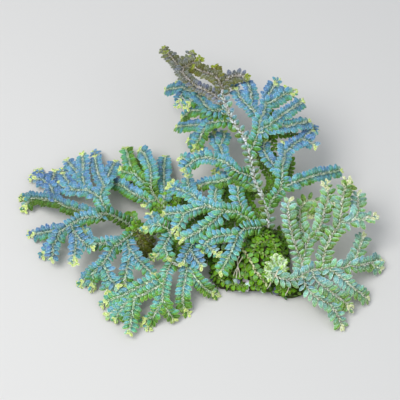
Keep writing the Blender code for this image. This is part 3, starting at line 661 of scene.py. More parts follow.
addShoot("frond_right_head", "leaf_grey", "frond_right_inner", (26, 30), (0.3, 0.42), (
    ((301, 259), (297, 250), (294, 241), (291, 231), (289, 220), (288, 209), (290, 198)),
), leafing="spaced")
addShoot("frond_right_inner", "leaf_grey", "stem_right", (20, 26), (0.5, 0.5), (
    ((302, 275), (302, 263), (304, 254), (307, 244), (312, 236), (318, 229), (322, 221),
     (324, 212), (327, 202), (328, 194), (326, 185)),
    ((327, 201), (333, 203), (339, 206)),
    ((309, 240), (303, 231), (300, 221), (301, 209), (307, 201), (315, 201), (318, 208),
     (315, 216), (309, 214)),
), leafing="spaced", sideTones={2: (0.55, 0.9)})
addShoot("frond_right_tall", "leaf_grey", "stem_right", (24, 30), (0.45, 0.66), (
    ((321, 268), (323, 260), (325, 252), (328, 243), (333, 234), (339, 225), (341, 215),
     (342, 205), (343, 195), (345, 187), (347, 180)),
    ((344, 191), (348, 187), (353, 183)),
), leafing="spaced", sideTones={1: (0.7, 0.95)})
addShoot("frond_right_edge", "leaf_grey", "frond_right_tall", (25, 24), (0.4, 0.5), (
    ((341, 222), (348, 223), (354, 219), (358, 212), (358, 203), (358, 191)),
    ((354, 219), (361, 220), (367, 218), (374, 217)),
), leafing="spaced")
addShoot("frond_right_low", "leaf_grey", "stem_right", (10, 1.2), (0.36, 0.3), (
    ((349, 266), (358, 265), (366, 264), (374, 262), (383, 259)),
    ((371, 264), (377, 267), (383, 270)),
), leafing="spaced")
addShoot("frond_right_front_far", "leaf_grey", "stem_right", (13, 1.2), (0.4, 0.45), (
    ((329, 269), (337, 275), (345, 281), (352, 287), (360, 293), (369, 300)),
), leafing="spaced")
addShoot("frond_right_front", "leaf_grey", "stem_right", (12, 1.2), (0.36, 0.42), (
    ((303, 277), (306, 286), (312, 294), (321, 300), (330, 305), (336, 313), (340, 321), (343, 328)),
), leafing="spaced")
addShoot("frond_right_front_mid", "leaf_grey", "stem_right", (15, 5), (0.4, 0.45), (
    ((312, 271), (316, 280), (324, 287), (333, 293), (342, 300), (351, 308)),
), leafing="spaced")
addShoot("frond_front_drop", "leaf_green", "stem_front_left", (13, 1.2), (0.6, 0.56), (
    ((172, 263), (168, 270), (165, 279), (163, 288), (163, 298), (166, 307), (170, 314), (176, 322)),
    ((163, 298), (159, 307), (155, 314), (150, 321), (148, 328)),
    ((153, 317), (148, 319), (142, 321)),
))
addShoot("frond_front_spread", "leaf_green", "frond_front_drop", (10, 1.5), (0.56, 0.54), (
    ((163, 284), (154, 289), (144, 294), (134, 299), (124, 305), (115, 311), (105, 316)),
    ((134, 299), (133, 309), (131, 320), (129, 335)),
    ((125, 305), (119, 314), (113, 322)),
))
addShoot("frond_front_pale", "leaf_green", "frond_front_drop", (12, 3), (0.54, 0.5), (
    ((164, 279), (153, 281), (142, 285), (131, 291), (121, 296), (111, 300), (103, 304)),
))
addShoot("frond_front_round", "leaf_green", "stem_front_left", (11, 1.2), (0.58, 0.6), (
    ((187, 265), (186, 275), (184, 285), (183, 294), (183, 303), (186, 313)),
))
addShoot("frond_front_short", "leaf_green", "stem_front_left", (11, 2.5), (0.6, 0.6), (
    ((188, 265), (193, 274), (199, 282), (206, 289), (216, 295)),
))
addShoot("frond_front_pad", "leaf_green", "soil_clump", (18, 16, 12), (0.8, 0.88), (
    ((238, 243), (245, 253), (250, 260), (254, 268), (259, 276), (268, 285)),
), leafing="pad", skin="ground", young=0.0)


# Low twigs under the fronds, their leaves darkened with painted shade

def addTwig(name, carrier, heights, tone, shade, axes, skin="ground"):
    addShoot(name, "leaf_green", carrier, heights, tone, axes, leafing="low", shade=shade,
             braid=0.2, skin=skin)


addTwig("under_left", "stem_left", (12, 5), (0.9, 1.0), 0.12, (
    ((136, 227), (138, 234), (141, 241), (144, 248), (147, 254)),
    ((139, 234), (145, 237), (151, 242)),
    ((143, 245), (150, 248), (156, 252)),
), skin="olive")
addTwig("under_hub", "stem_left", (15, 14), (0.85, 0.9), 0.06, (
    ((140, 228), (136, 223), (133, 218), (131, 213)),
    ((138, 228), (132, 231), (127, 236)),
))
addTwig("under_upper", "stem_upper_left", (11, 5), (0.85, 1.0), 0.08, (
    ((161, 204), (154, 197), (146, 192), (138, 189), (129, 186), (121, 183)),
    ((158, 200), (165, 198), (172, 199), (178, 202)),
    ((150, 195), (148, 186), (143, 177), (140, 168), (138, 160)),
    ((155, 198), (157, 188), (158, 179)),
))
addTwig("under_upper_side", "stem_upper_left", (12, 6), (0.9, 1.0), 0.14, (
    ((171, 214), (176, 208), (182, 204), (189, 203)),
    ((172, 213), (166, 210), (160, 208), (153, 207)),
))
addTwig("under_centre", "stem_left", (12, 6), (0.9, 1.0), 0.3, (
    ((188, 237), (190, 229), (195, 221), (202, 216), (211, 215), (220, 218)),
    ((192, 226), (197, 229), (204, 234), (212, 232)),
))
addTwig("under_centre_low", "stem_left", (10, 4), (0.9, 1.0), 0.28, (
    ((180, 236), (178, 244), (176, 252), (177, 260)),
    ((172, 234), (169, 242), (171, 250), (173, 258), (172, 266)),
    ((196, 239), (199, 248), (203, 256), (210, 261), (217, 263)),
))
addTwig("under_middle", "frond_centre_long", (16, 14), (0.9, 1.0), 0.25, (
    ((222, 210), (226, 204), (226, 197), (224, 190), (228, 182)),
    ((226, 200), (231, 197), (234, 192)),
))
addTwig("under_middle_low", "frond_centre_long", (15, 14), (0.9, 1.0), 0.28, (
    ((244, 217), (238, 221), (231, 222), (224, 218)),
    ((234, 222), (228, 226), (222, 230)),
))
addTwig("under_rear", "stem_rear", (18, 20), (0.9, 1.0), 0.3, (
    ((267, 222), (260, 217), (253, 210), (248, 203), (245, 195), (243, 186), (238, 181)),
    ((247, 200), (252, 196), (257, 193)),
    ((245, 193), (250, 188), (255, 184)),
))
addTwig("under_rear_right", "stem_rear", (25, 26), (0.85, 1.0), 0.22, (
    ((264, 198), (268, 191), (272, 183), (269, 175), (264, 167), (260, 160), (257, 152)),
    ((271, 186), (277, 180), (280, 172)),
    ((266, 170), (272, 163), (276, 156)),
))
addTwig("under_right", "frond_right_back", (28, 28), (0.9, 1.0), 0.2, (
    ((282, 183), (287, 177), (290, 170), (290, 161)),
))
addTwig("under_back", "frond_back_top", (36, 34), (0.85, 1.0), 0.2, (
    ((256, 140), (262, 136), (269, 134), (277, 134), (286, 133), (296, 134)),
    ((269, 134), (272, 141), (275, 149)),
    ((262, 136), (262, 130), (268, 122), (275, 114)),
))

# Shoots that creep over the soil, whose heights come from the soil itself: lift is how many mm
# a shoot lies above it, and rise how many more it stands at its tip

addShoot("creeping_shoots", "leaf_green", "soil_clump", (), (0.86, 0.96), (
    ((254, 230), (261, 232), (268, 235), (273, 241), (275, 248), (277, 256)),
    ((291, 243), (285, 243), (279, 246), (273, 250)),
    ((280, 250), (284, 255), (284, 262)),
    ((264, 233), (259, 240), (255, 248), (252, 257)),
    ((270, 239), (263, 242), (256, 243)),
    ((257, 252), (263, 254), (269, 257)),
    ((283, 234), (284, 240), (288, 247)),
    ((276, 231), (282, 229), (288, 232)),
    ((247, 234), (246, 241), (249, 248)),
    ((226, 260), (230, 268), (236, 275)),
    ((213, 274), (220, 279), (228, 283), (236, 285), (244, 286)),
    ((246, 284), (254, 285), (262, 287)),
    ((284, 276), (290, 279), (290, 286), (284, 291)),
    ((298, 275), (294, 282), (290, 290)),
    ((261, 268), (267, 275), (266, 283)),
    ((276, 283), (282, 283), (280, 291)),
    ((243, 262), (246, 270), (243, 277)),
    ((252, 268), (250, 276), (254, 281)),
    ((222, 256), (217, 264), (219, 272)),
), leafing="ground", lift=1.2, rise=0.8, braid=0.3, skin="ground")
addShoot("pale_tuft", "leaf_grey", "soil_clump", (), (0.6, 0.3), (
    ((277, 274), (273, 269), (269, 263)),
    ((277, 274), (275, 267), (273, 258)),
    ((277, 274), (279, 266), (279, 257)),
    ((277, 274), (282, 268), (284, 261)),
    ((277, 274), (282, 271), (285, 268)),
    ((277, 274), (271, 273), (266, 270)),
    ((277, 274), (273, 276), (268, 278)),
), skin="pale_tuft", leafing="tuft", lift=1.4, rise=4.5)

# How a shoot's leaves stand, in mm and degrees. A shoot is dense unless it says otherwise, and a
# stem sparse. The bud is how far from the tip the leaves are still growing.

leafSizes = ("spacing", "length", "width", "angle", "midSpacing", "midLength", "midWidth", "stem",
             "bud")
leafing = {
    "dense": (2.3, 4.75, 2.65, 62, 1.45, 1.75, 0.66, 0.28, 3.2),
    "broad": (2.55, 5.3, 2.85, 60, 1.7, 1.9, 0.68, 0.3, 3.0),
    "spaced": (2.75, 5.4, 2.75, 56, 1.8, 1.95, 0.74, 0.3, 3.4),
    "sparse": (3.2, 4.1, 2.6, 58, 2.0, 2.2, 1.0, 0.45, 0.1),
    "rear": (3.9, 4.4, 2.9, 64, 2.4, 2.6, 1.25, 0.5, 0.1),
    "pad": (3.3, 4.2, 3.1, 58, 2.2, 2.0, 1.1, 0.5, 0.1),
    "low": (2.4, 3.5, 2.4, 60, 1.7, 1.8, 0.8, 0.3, 0.1),
    "ground": (2.7, 3.6, 2.6, 56, 1.7, 1.7, 0.9, 0.35, 0.1),
    "tuft": (1.5, 2.9, 1.6, 38, 1.1, 2.1, 1.1, 0.3, 0.1),
}
shootLooks = {
    "lean": 0.42,        # how far the leaf plane leans to the front, away from the floor
    "leanHeight": 9,     # mm over which a shoot near the floor levels out
    "tipCut": 3,         # points left for the last leaves beyond the axis, one more at a fork
    "forkChance": 0.4,   # of the growing tips that have split in two
    "forkLeast": 10,     # pixels that a line has to be longer than to fork
    "forkLength": 3.4,   # pixels
    "forkLengths": (0.8, 1.15),
    "forkAngle": 30,
    "forkAngles": (0.8, 1.2),
    "forkSteps": 4,
    "forkSize": 0.8,     # of the leaves on a split tip, as a share
    "roll": 12,          # degrees that a shoot may be turned on its axis
    "carrierGap": 0.5,   # pixels from its carrier beyond which a shoot's line is led back to it
    "leastHeight": 0.9,
    "sideDrop": 1.5,
    "floorGap": 0.03,    # mm
    "stemStep": 1.1,
    "stemSides": 7,
    "stemTip": 0.5,      # the stem's thickness at its tip, as a share
    "budStart": 0.3,     # mm that even the last leaf stands behind the tip
    "middleSeed": 50,
}


def linesOf(name, known):
    # the shoot's axes as (u, v, height) lines a pixel apart: its spine, then its side branches
    if name in known:
        return known[name]
    shoot = shoots[name]
    spine = smoothLine(shoot["axes"][0])
    heights = shoot["heights"]
    carrier = []
    if shoot["on"] in shoots:
        carrier = [p for line in linesOf(shoot["on"], known) for p in line]
        distance, u, v, height = nearest(carrier, shoot["axes"][0][0])
        heights = (height, *heights)
    last = len(spine) - 1
    lines = [[(*p, arch(*heights, i / last)) for i, p in enumerate(spine)]]
    for axis in shoot["axes"][1:]:
        _, sideU, sideV, start = nearest([p for line in lines for p in line], axis[0])
        side = smoothLine(((sideU, sideV), *axis[1:]))
        level = arch(*heights, shareAlong(spine, side[0]))
        line = []
        for i, p in enumerate(side):
            fall = level - arch(*heights, shareAlong(spine, p))
            fall += shootLooks["sideDrop"] * (i / (len(side) - 1)) ** 2
            line.append((*p, max(shootLooks["leastHeight"], start - fall)))
        lines.append(line)
    if carrier and distance > shootLooks["carrierGap"]:
        lines[0].insert(0, (u, v, height))
    known[name] = lines
    return lines


def forkedTip(line, chance):
    # two short twigs that part from the axis just before its end
    start = Vector(line[-3])
    run = Vector(line[-1]) - Vector(line[-6])
    heading = math.atan2(run.y, run.x)
    twigs = []
    for side in (-1, 1):
        turn = shootLooks["forkAngle"] * chance.uniform(*shootLooks["forkAngles"])
        angle = heading + side * math.radians(turn)
        length = shootLooks["forkLength"] * chance.uniform(*shootLooks["forkLengths"])
        twig = []
        for i in range(shootLooks["forkSteps"] + 1):
            t = i / shootLooks["forkSteps"]
            height = max(shootLooks["leastHeight"], start.z + run.z / run.xy.length * length * t)
            twig.append((start.x + math.cos(angle) * length * t,
                         start.y + math.sin(angle) * length * t, height))
        twigs.append(twig)
    return twigs


def faceUp(point, tangent, roll):
    # the way a shoot's upper side faces: to the front and up, but level near the floor
    share = min(1, max(0, point.z / mm / shootLooks["leanHeight"]))
    up = Vector((0, -shootLooks["lean"] * share, 1)).normalized()
    return Quaternion(tangent, math.radians(roll)) @ up


def leafAxes(name, known):
    # every axis that bears leaves: its points, each with the way it faces, its tone and leaf size
    shoot = shoots[name]
    chance = random.Random(name)
    lines = linesOf(name, known)
    grows = shoot["leaf"] != "stem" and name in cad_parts
    found = []
    for number, line in enumerate(lines):
        roll = chance.uniform(-1, 1) * shootLooks["roll"]
        forks = grows and len(line) > shootLooks["forkLeast"]
        forks = forks and chance.random() < shootLooks["forkChance"]
        cut = shootLooks["tipCut"] + int(forks) if grows else 0
        found.append((line[:len(line) - cut], roll, 1.0, number))
        if forks:
            size = shootLooks["forkSize"]
            found += [(twig, roll, size, number) for twig in forkedTip(line, chance)]
    spine = [Vector(p[:2]) for p in lines[0]]
    sideTones = shoot.get("sideTones", {})
    axes = []
    for line, roll, size, number in found:
        points = [place(*p) for p in line]
        low, high = sideTones.get(number, shoot["tone"])
        axis = []
        for i, point in enumerate(points):
            tangent = (points[min(i + 1, len(points) - 1)] - points[max(i - 1, 0)]).normalized()
            share = shareAlong(spine, Vector(line[i][:2]))
            if number in sideTones:
                share = i / len(points)
            tone = low + (high - low) * share
            axis.append((point, faceUp(point, tangent, roll), tone, size))
        axes.append(axis)
    return axes


def pathObject(name, axes, marks):
    # the axes as bare edges, which a tree of nodes turns into curves
    vertices, edges = [], []
    for axis in axes:
        first = len(vertices)
        vertices += [point for point, _, _, _ in axis]
        edges += [(i, i + 1) for i in range(first, len(vertices) - 1)]
    mesh = bpy.data.meshes.new(name)
    mesh.from_pydata(vertices, edges, [])
    _, faces, tones, sizes = zip(*(value for axis in axes for value in axis))
    facing = mesh.attributes.new("faceUp", "FLOAT_VECTOR", "POINT")
    facing.data.foreach_set("vector", [c for up in faces for c in up])
    values = {"leafTone": tones, "leafSize": sizes}
    values.update((mark, [value] * len(vertices)) for mark, value in marks.items())
    for mark, value in values.items():
        mesh.attributes.new(mark, "FLOAT", "POINT").data.foreach_set("value", value)
    return newObject(name, mesh)


# One leaf, 1 long and 1 wide, lying along +X with its upper side up. Its underside shares its rim.

sideLeafShape = {
    "widths": ((0.08, 0.5), (0.3, 0.93), (0.6, 0.99), (0.87, 0.57)),
    "columns": (-1, -0.5, 0, 0.5, 1),
    "dome": 0.1, "crease": 0.035, "droop": 0.13, "thick": 0.045, "raise": 0,
}
middleLeafShape = {
    "widths": ((0.15, 0.8), (0.45, 1.0), (0.75, 0.6)),
    "columns": (-1, 0, 1),
    "dome": 0.22, "crease": 0, "droop": -0.12, "thick": 0.08, "raise": 0.12,
}


def makeLeaf(name, shape):
    leaf = bmesh.new()
    edgeLayer, alongLayer, underLayer = (leaf.verts.layers.float.new(mark) for mark in
                                         ("leafEdge", "leafAlong", "leafUnder"))

    def point(t, width, column, under):
        rise = shape["dome"] * (1 - column**2) * min(1, width) - shape["droop"] * t**2
        rise += shape["raise"] - shape["crease"] * (column == 0)
        if under:
            rise -= shape["thick"]
        made = leaf.verts.new((t, column * width / 2, rise))
        made[edgeLayer] = abs(column) if width else 1
        made[alongLayer] = t
        made[underLayer] = under
        return made

    base, tip = point(0, 0, 1, 0), point(1, 0, 1, 0)
    upper = [[point(t, w, c, 0) for c in shape["columns"]] for t, w in shape["widths"]]
    lower = [[row[0], point(t, w, 0, 1), row[-1]] for row, (t, w) in zip(upper, shape["widths"])]
    for rows in (upper, lower):
        for a, b in zip(rows, rows[1:]):
            for j in range(len(a) - 1):
                leaf.faces.new((a[j], b[j], b[j + 1], a[j + 1]))
        for j in range(len(rows[0]) - 1):
            leaf.faces.new((base, rows[0][j], rows[0][j + 1]))
            leaf.faces.new((tip, rows[-1][j], rows[-1][j + 1]))
    bmesh.ops.recalc_face_normals(leaf, faces=leaf.faces)
    rim = {base, tip} | {row[k] for row in upper for k in (0, -1)}
    for face in leaf.faces:
        face.smooth = True
    for edge in leaf.edges:
        edge.smooth = not set(edge.verts) <= rim
    mesh = bpy.data.meshes.new(name)
    leaf.to_mesh(mesh)
    leaf.free()
    return bpy.data.objects.new(name, mesh)


sideLeaf = makeLeaf("sideLeaf", sideLeafShape)
middleLeaf = makeLeaf("middleLeaf", middleLeafShape)

# The nodes that turn bare axes into a leafy shoot. Angles are in radians and sizes are shares.
# Tile is how far a leaf's forward edge is raised, and fresh is how grown a young leaf is.

sideRow = {"inputs": ("spacing", "sideLeaf", "length", "width"),
           "angleChance": 0.14, "budAngle": 0.6, "lift": (-0.2, 0.06), "tile": (0.16, 0.44),
           "budSize": 0.6, "budWide": 1.2, "sizes": (0.86, 1.14), "fresh": (0.66, 0.1),
           "pale": (0.0, 0.0)}
middleRow = {"inputs": ("midSpacing", "middleLeaf", "midLength", "midWidth"), "angle": 0.4,
             "angleChance": 0.3, "budAngle": 1.8, "lift": (0.05, 0.35), "tile": (-0.2, 0.2),
             "budSize": 1.45, "budWide": 1.7, "sizes": (0.7, 1.3), "fresh": (0.98, 0.35),
             "pale": (0.65, 1.0)}


def shootFields(nodes, bud):
    # what every leaf needs to know of its place on the axis
    spline = nodes.add("GeometryNodeSplineParameter")
    whole = nodes.add("GeometryNodeSplineLength")["Length"]
    tangent = nodes.add("GeometryNodeInputTangent")[0]
    across = nodes.square(tangent, nodes.named("faceUp", "FLOAT_VECTOR"))
    toTip = nodes.plus(nodes.minus(whole, spline["Length"]), shootLooks["budStart"] * mm)
    odd = nodes.calc("MODULO", spline["Index"], 2.0)
    return {"tangent": tangent, "across": across, "up": nodes.square(across, tangent),
            "grown": nodes.span(toTip, 0.0, bud), "side": nodes.minus(1.0, nodes.times(odd, 2.0))}


def leafRow(nodes, curve, given, row, angle, seed):
    # leaves to the left and right in turn, every half spacing along the curve
    spacing, leaf, length, width = (given[name] for name in row["inputs"])
    points = nodes.evenCurve(curve, nodes.times(spacing, 0.5))
    here = shootFields(nodes, given["bud"])
    grown, side = here["grown"], here["side"]
    tone = nodes.plus(nodes.named("leafTone"), nodes.times(nodes.named("rowTone"), side))
    points = nodes.store(points, {
        "leafFresh": nodes.times(nodes.named("young"), nodes.span(grown, *row["fresh"])),
        "leafPale": nodes.times(nodes.named("braid"), nodes.chance(seed, *row["pale"], 6)),
        "leafTone": tone,
        "leafLuck": nodes.chance(seed, 0.0, 1.0, 1),
    })
    turn = nodes.plus(angle, nodes.chance(seed, -row["angleChance"], row["angleChance"], 2))
    turn = nodes.times(turn, nodes.blend(grown, row["budAngle"], 1.0))
    lift = nodes.chance(seed, *row["lift"], 3)
    onward = nodes.scaled(here["tangent"], nodes.calc("COSINE", turn))
    outward = nodes.scaled(here["across"], nodes.times(side, nodes.calc("SINE", turn)))
    heading = nodes.sum(nodes.sum(onward, outward), nodes.scaled(here["up"], lift))
    tile = nodes.times(nodes.chance(seed, *row["tile"], 4), -1.0)
    normal = nodes.sum(here["up"], nodes.scaled(here["tangent"], tile))
    tilt = nodes.scaled(here["across"], nodes.times(side, lift))
    normal = nodes.vector("SUBTRACT", normal, tilt)[0]
    size = nodes.times(nodes.named("leafSize"), nodes.blend(grown, row["budSize"], 1.0))
    size = nodes.times(size, nodes.chance(seed, *row["sizes"], 5))
    wide = nodes.times(nodes.times(width, size), nodes.blend(grown, row["budWide"], 1.0))
    return nodes.leaves(points, leaf, normal, heading, nodes.times(length, size), wide)


def shootTree():
    nodes, given = newTree("leafyShoot", {
        "Object": ("sideLeaf", "middleLeaf"), "Float": leafSizes, "Int": ("seed",),
        "Material": ("leafSkin", "stemSkin"),
    })
    curve = nodes.add("GeometryNodeMeshToCurve", {0: given["source"]})[0]
    seed = given["seed"]
    sides = leafRow(nodes, curve, given, sideRow, given["angle"], seed)
    middles = leafRow(nodes, curve, given, middleRow, middleRow["angle"],
                      nodes.plus(seed, shootLooks["middleSeed"]))
    leaves = nodes.solid(nodes.join(sides, middles), given["leafSkin"])
    core = nodes.evenCurve(curve, shootLooks["stemStep"] * mm)
    grown = shootFields(nodes, given["bud"])["grown"]
    stem = nodes.tube(core, given["stem"], shootLooks["stemSides"],
                      nodes.blend(grown, shootLooks["stemTip"], 1.0))
    stem = nodes.solid(stem, given["stemSkin"])
    nodes.add("NodeGroupOutput", {0: nodes.join(leaves, stem)})
    return nodes.tree


def settle(mesh):
    # nothing reaches below the surface that the clump rests on
    for vertex in mesh.vertices:
        vertex.co.z = max(vertex.co.z, shootLooks["floorGap"] * mm)


def grow(source, name, tree, settings):
    # what the tree makes of the source, as a plain mesh in an object of its own
    modifier = source.modifiers.new("grow", "NODES")
    modifier.node_group = tree
    for socket in tree.interface.items_tree:
        if socket.name in settings:
            modifier[socket.identifier] = settings[socket.name]
    bpy.context.view_layer.update()
    graph = bpy.context.evaluated_depsgraph_get()
    mesh = bpy.data.meshes.new_from_object(source.evaluated_get(graph))
    bpy.data.objects.remove(source)
    mesh.name = name
    settle(mesh)
    return newObject(name, mesh)


def addPiece(piece, node=None):
    # the clump is one body, and a piece may stand for a CAD node
    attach(piece, "root")
    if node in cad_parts:
        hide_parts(node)
    return piece


leafyShoot = shootTree()


def buildShoot(name, known):
    shoot = shoots[name]
    isStem = shoot["leaf"] == "stem"
    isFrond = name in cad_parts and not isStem
    marks = {"leafShade": shoot.get("shade", 0.0), "braid": shoot.get("braid", 1.0),
             "young": shoot.get("young", float(isFrond)), "rowTone": shoot.get("rowTone", 0.0)}
    build = dict(zip(leafSizes, leafing[shoot.get("leafing", "sparse" if isStem else "dense")]))
    settings = {size: value * mm for size, value in build.items()}
    settings.update({
        "angle": math.radians(build["angle"]), "seed": list(shoots).index(name) * 7,
        "sideLeaf": sideLeaf, "middleLeaf": middleLeaf, "stemSkin": stemSkin,
        "leafSkin": materials[shoot.get("skin", shoot["leaf"])],
    })
    source = pathObject(name + "_axes", leafAxes(name, known), marks)
    return addPiece(grow(source, "leafy_" + name, leafyShoot, settings), name)


# The soil and what grows on it. Lumps and crumbs are in mm, and the noise is given by its
# dimension, the gap between its octaves and their number.

soilShape = {"cuts": 3, "lumps": 0.9, "lumpScale": 260, "crumbs": 0.35, "crumbScale": 900,
             "rounding": 0.6, "noise": (1.0, 2.0, 3)}
mossShape = {**soilShape, "cuts": 2, "lumps": 0.5, "lumpScale": 330, "crumbs": 0.3,
             "crumbScale": 1100}


def lumpyCopy(node, name, shape):
    # the CAD node's mesh, merged, divided and pushed about, flat where it rests
    ground = bmesh.new()
    ground.from_mesh(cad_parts[node].data)
    bmesh.ops.remove_doubles(ground, verts=ground.verts, dist=1e-5)
    bmesh.ops.subdivide_edges(ground, edges=ground.edges, cuts=shape["cuts"], use_grid_fill=True,
                              smooth=shape["rounding"])
    bmesh.ops.triangulate(ground, faces=ground.faces)
    ground.normal_update()
    moved = []
    for vertex in ground.verts:
        push = sum(noise.fractal(vertex.co * shape[scale], *shape["noise"]) * shape[depth]
                   for scale, depth in (("lumpScale", "lumps"), ("crumbScale", "crumbs")))
        share = min(1, max(0, vertex.co.z / mm))
        moved.append(vertex.co + vertex.normal * push * mm * share)
    for vertex, spot in zip(ground.verts, moved):
        vertex.co = spot
        vertex.co.z = max(0, vertex.co.z)
    mesh = bpy.data.meshes.new(name)
    for face in ground.faces:
        face.smooth = True
    ground.to_mesh(mesh)
    ground.free()
    mesh.materials.clear()
    mesh.materials.append(soilSkin)
    return newObject(name, mesh)


# Leaves scattered over the ground: sizes in mm, and tone and painted shade as on the shoots

covers = {
    "soil_moss": {"over": "soil", "leaf": middleLeaf, "spacing": 0.95, "length": 1.6,
                  "width": 0.8, "slant": 0.9, "above": 1.2, "tone": 1.0, "shade": 0.7, "seed": 3},
    "soil_leaves": {"over": "soil", "leaf": sideLeaf, "spacing": 3.1, "length": 2.8,
                    "width": 1.8, "slant": 0.8, "above": 5, "tone": 0.9, "shade": 0.6,
                    "seed": 11},
    "cushion_top_leaves": {"over": "cushion_top", "leaf": sideLeaf, "spacing": 2.0,
                           "length": 3.3, "width": 2.0, "slant": 0.9, "above": 4, "tone": 0.88,
                           "shade": 0.7, "seed": 23},
    "cushion_toe_leaves": {"over": "cushion_toe", "leaf": sideLeaf, "spacing": 1.8,
                           "length": 3.0, "width": 1.8, "slant": 0.8, "above": 1.5, "tone": 0.9,
                           "shade": 0.6, "seed": 37},
}
coverLooks = {
    "density": 1.5e6,    # points to a square metre before the spacing thins them
    "patchScale": 160.0, "patchTone": (-0.25, 0.1), "shades": (-0.3, 1.0), "fresh": (-1.2, 0.3),
    "slants": (0.4, 1.3), "sizes": (0.7, 1.25),
}


def coverTree(look):
    # leaves scattered over a surface, each standing on it at its own slant
    nodes, given = newTree("groundCover", {
        "Object": ("leaf",), "Int": ("seed",), "Material": ("skin",),
        "Float": ("spacing", "length", "width", "above", "slant", "tone", "shade"),
    })
    seed = given["seed"]
    spot = nodes.add("GeometryNodeInputPosition")[0]
    height = nodes.add("ShaderNodeSeparateXYZ", {0: spot})["Z"]
    chosen = nodes.calc("GREATER_THAN", height, given["above"])
    spread = nodes.add("GeometryNodeDistributePointsOnFaces",
                       {"Mesh": given["source"], "Selection": chosen, "Seed": seed,
                        "Distance Min": given["spacing"], "Density Max": look["density"]},
                       distribute_method="POISSON")
    patch = nodes.add("ShaderNodeTexNoise", {"Scale": look["patchScale"], "Detail": 1.0})[0]
    patch = nodes.span(patch, 0.3, 0.7, *look["patchTone"], "LINEAR")
    # painted shade, varied at random from leaf to leaf
    shade = nodes.times(given["shade"], nodes.chance(seed, *look["shades"], 7))
    points = nodes.store(spread["Points"], {
        "leafTone": nodes.plus(given["tone"], patch),
        "leafLuck": nodes.chance(seed, 0.0, 1.0, 1),
        "leafFresh": nodes.chance(seed, *look["fresh"], 2),
        "leafShade": nodes.calc("MAXIMUM", shade, 0.0),
    })
    toss = nodes.add("FunctionNodeRandomValue",
                     {0: (-1, -1, -1), 1: (1, 1, 1), 8: nodes.plus(seed, 3)},
                     data_type="FLOAT_VECTOR")[0]
    normal = spread["Normal"]
    along = nodes.square(normal, toss)
    slant = nodes.times(given["slant"], nodes.chance(seed, *look["slants"], 4))
    heading = nodes.sum(along, nodes.scaled(normal, slant))
    upper = nodes.vector("SUBTRACT", normal, nodes.scaled(along, slant))[0]
    size = nodes.chance(seed, *look["sizes"], 5)
    cover = nodes.leaves(points, given["leaf"], upper, heading,
                         nodes.times(given["length"], size), nodes.times(given["width"], size))
    nodes.add("NodeGroupOutput", {0: nodes.solid(cover, given["skin"])})
    return nodes.tree


print("soil")
ground = {}
for name, node, shape, slot in (("soil", "soil_clump", soilShape, "soil"),
                                ("cushion_top", "moss_cushion_top", mossShape, "moss"),
                                ("cushion_toe", "moss_cushion_toe", mossShape, "moss")):
    ground[name] = addPiece(lumpyCopy(node, name, shape), node)
groundCover = coverTree(coverLooks)
for name, look in covers.items():
    source = newObject(name, ground[look["over"]].data.copy())
    settings = {**look, "skin": materials["cover"]}
    for size in ("spacing", "length", "width", "above"):
        settings[size] *= mm
    addPiece(grow(source, name, groundCover, settings))


def surfaceOf(objects):
    vertices, faces = [], []
    for item in objects:
        first = len(vertices)
        vertices += [vertex.co.copy() for vertex in item.data.vertices]
        faces += [[first + i for i in face.vertices] for face in item.data.polygons]
    return BVHTree.FromPolygons(vertices, faces)


def seen(pixel, surface):
    # the way to the pixel from the camera, and where it meets the surface
    way = (place(*pixel, 0) - eye * mm).normalized()
    return way, *surface.ray_cast(eye * mm, way)[:2]


creeping = {"height": 3, "smoothing": 3}    # mm off the soil's edge, and passes over the heights


def creepingLine(axis, shoot, surface):
    # the line lies where the camera sees the soil at each pixel, or goes on level beyond its edge
    line = []
    height = creeping["height"]
    points = smoothLine(axis)
    for i, pixel in enumerate(points):
        _, hit, _ = seen(pixel, surface)
        height = hit.z / mm if hit else height
        line.append([*pixel, height + shoot["lift"] + shoot["rise"] * i / (len(points) - 1)])
    for _ in range(creeping["smoothing"]):
        for a, b, c in zip(line, line[1:], line[2:]):
            b[2] = (a[2] + 2 * b[2] + c[2]) / 4
    return [tuple(p) for p in line]


print("shoots")
surface = surfaceOf(ground.values())
known = {name: [creepingLine(axis, shoot, surface) for axis in shoot["axes"]]
         for name, shoot in shoots.items() if "lift" in shoot}
pieces = [buildShoot(name, known) for name in shoots]
print("faces on the shoots:", sum(len(piece.data.polygons) for piece in pieces))


# Loose scales and dead leaves along the rim: pixel, length in mm, heading in degrees, skin

flakes = (
    (237, 284, 4.8, 20, "pale_tuft"), (241, 285, 4.4, 170, "pale_tuft"),
    (243, 282, 3.9, 300, "lilac"), (246, 284, 4.9, 200, "lilac"), (249, 286, 4.0, 30, "lilac"),
    (252, 284, 4.2, 110, "pale_tuft"), (255, 286, 3.9, 220, "pale_tuft"),
    (232, 283, 4.4, 95, "ground"), (236, 278, 3.2, 40, "leaf_old"),
    (239, 279, 2.8, 200, "leaf_old"), (272, 291, 3.9, 250, "leaf_old"),
    (267, 289, 3.2, 330, "leaf_old"), (276, 292, 3.3, 20, "leaf_old"),
    (277, 278, 3.5, 60, "leaf_old"), (214, 279, 3.5, 150, "leaf_old"),
    (296, 246, 4.0, 10, "leaf_old"), (226, 286, 3.5, 340, "pale_tuft"),
    (262, 288, 3.2, 190, "pale_tuft"),
)
flakeLooks = {"lift": 2.0, "width": 0.6, "upright": 0.6}    # lift is in mm, towards the camera


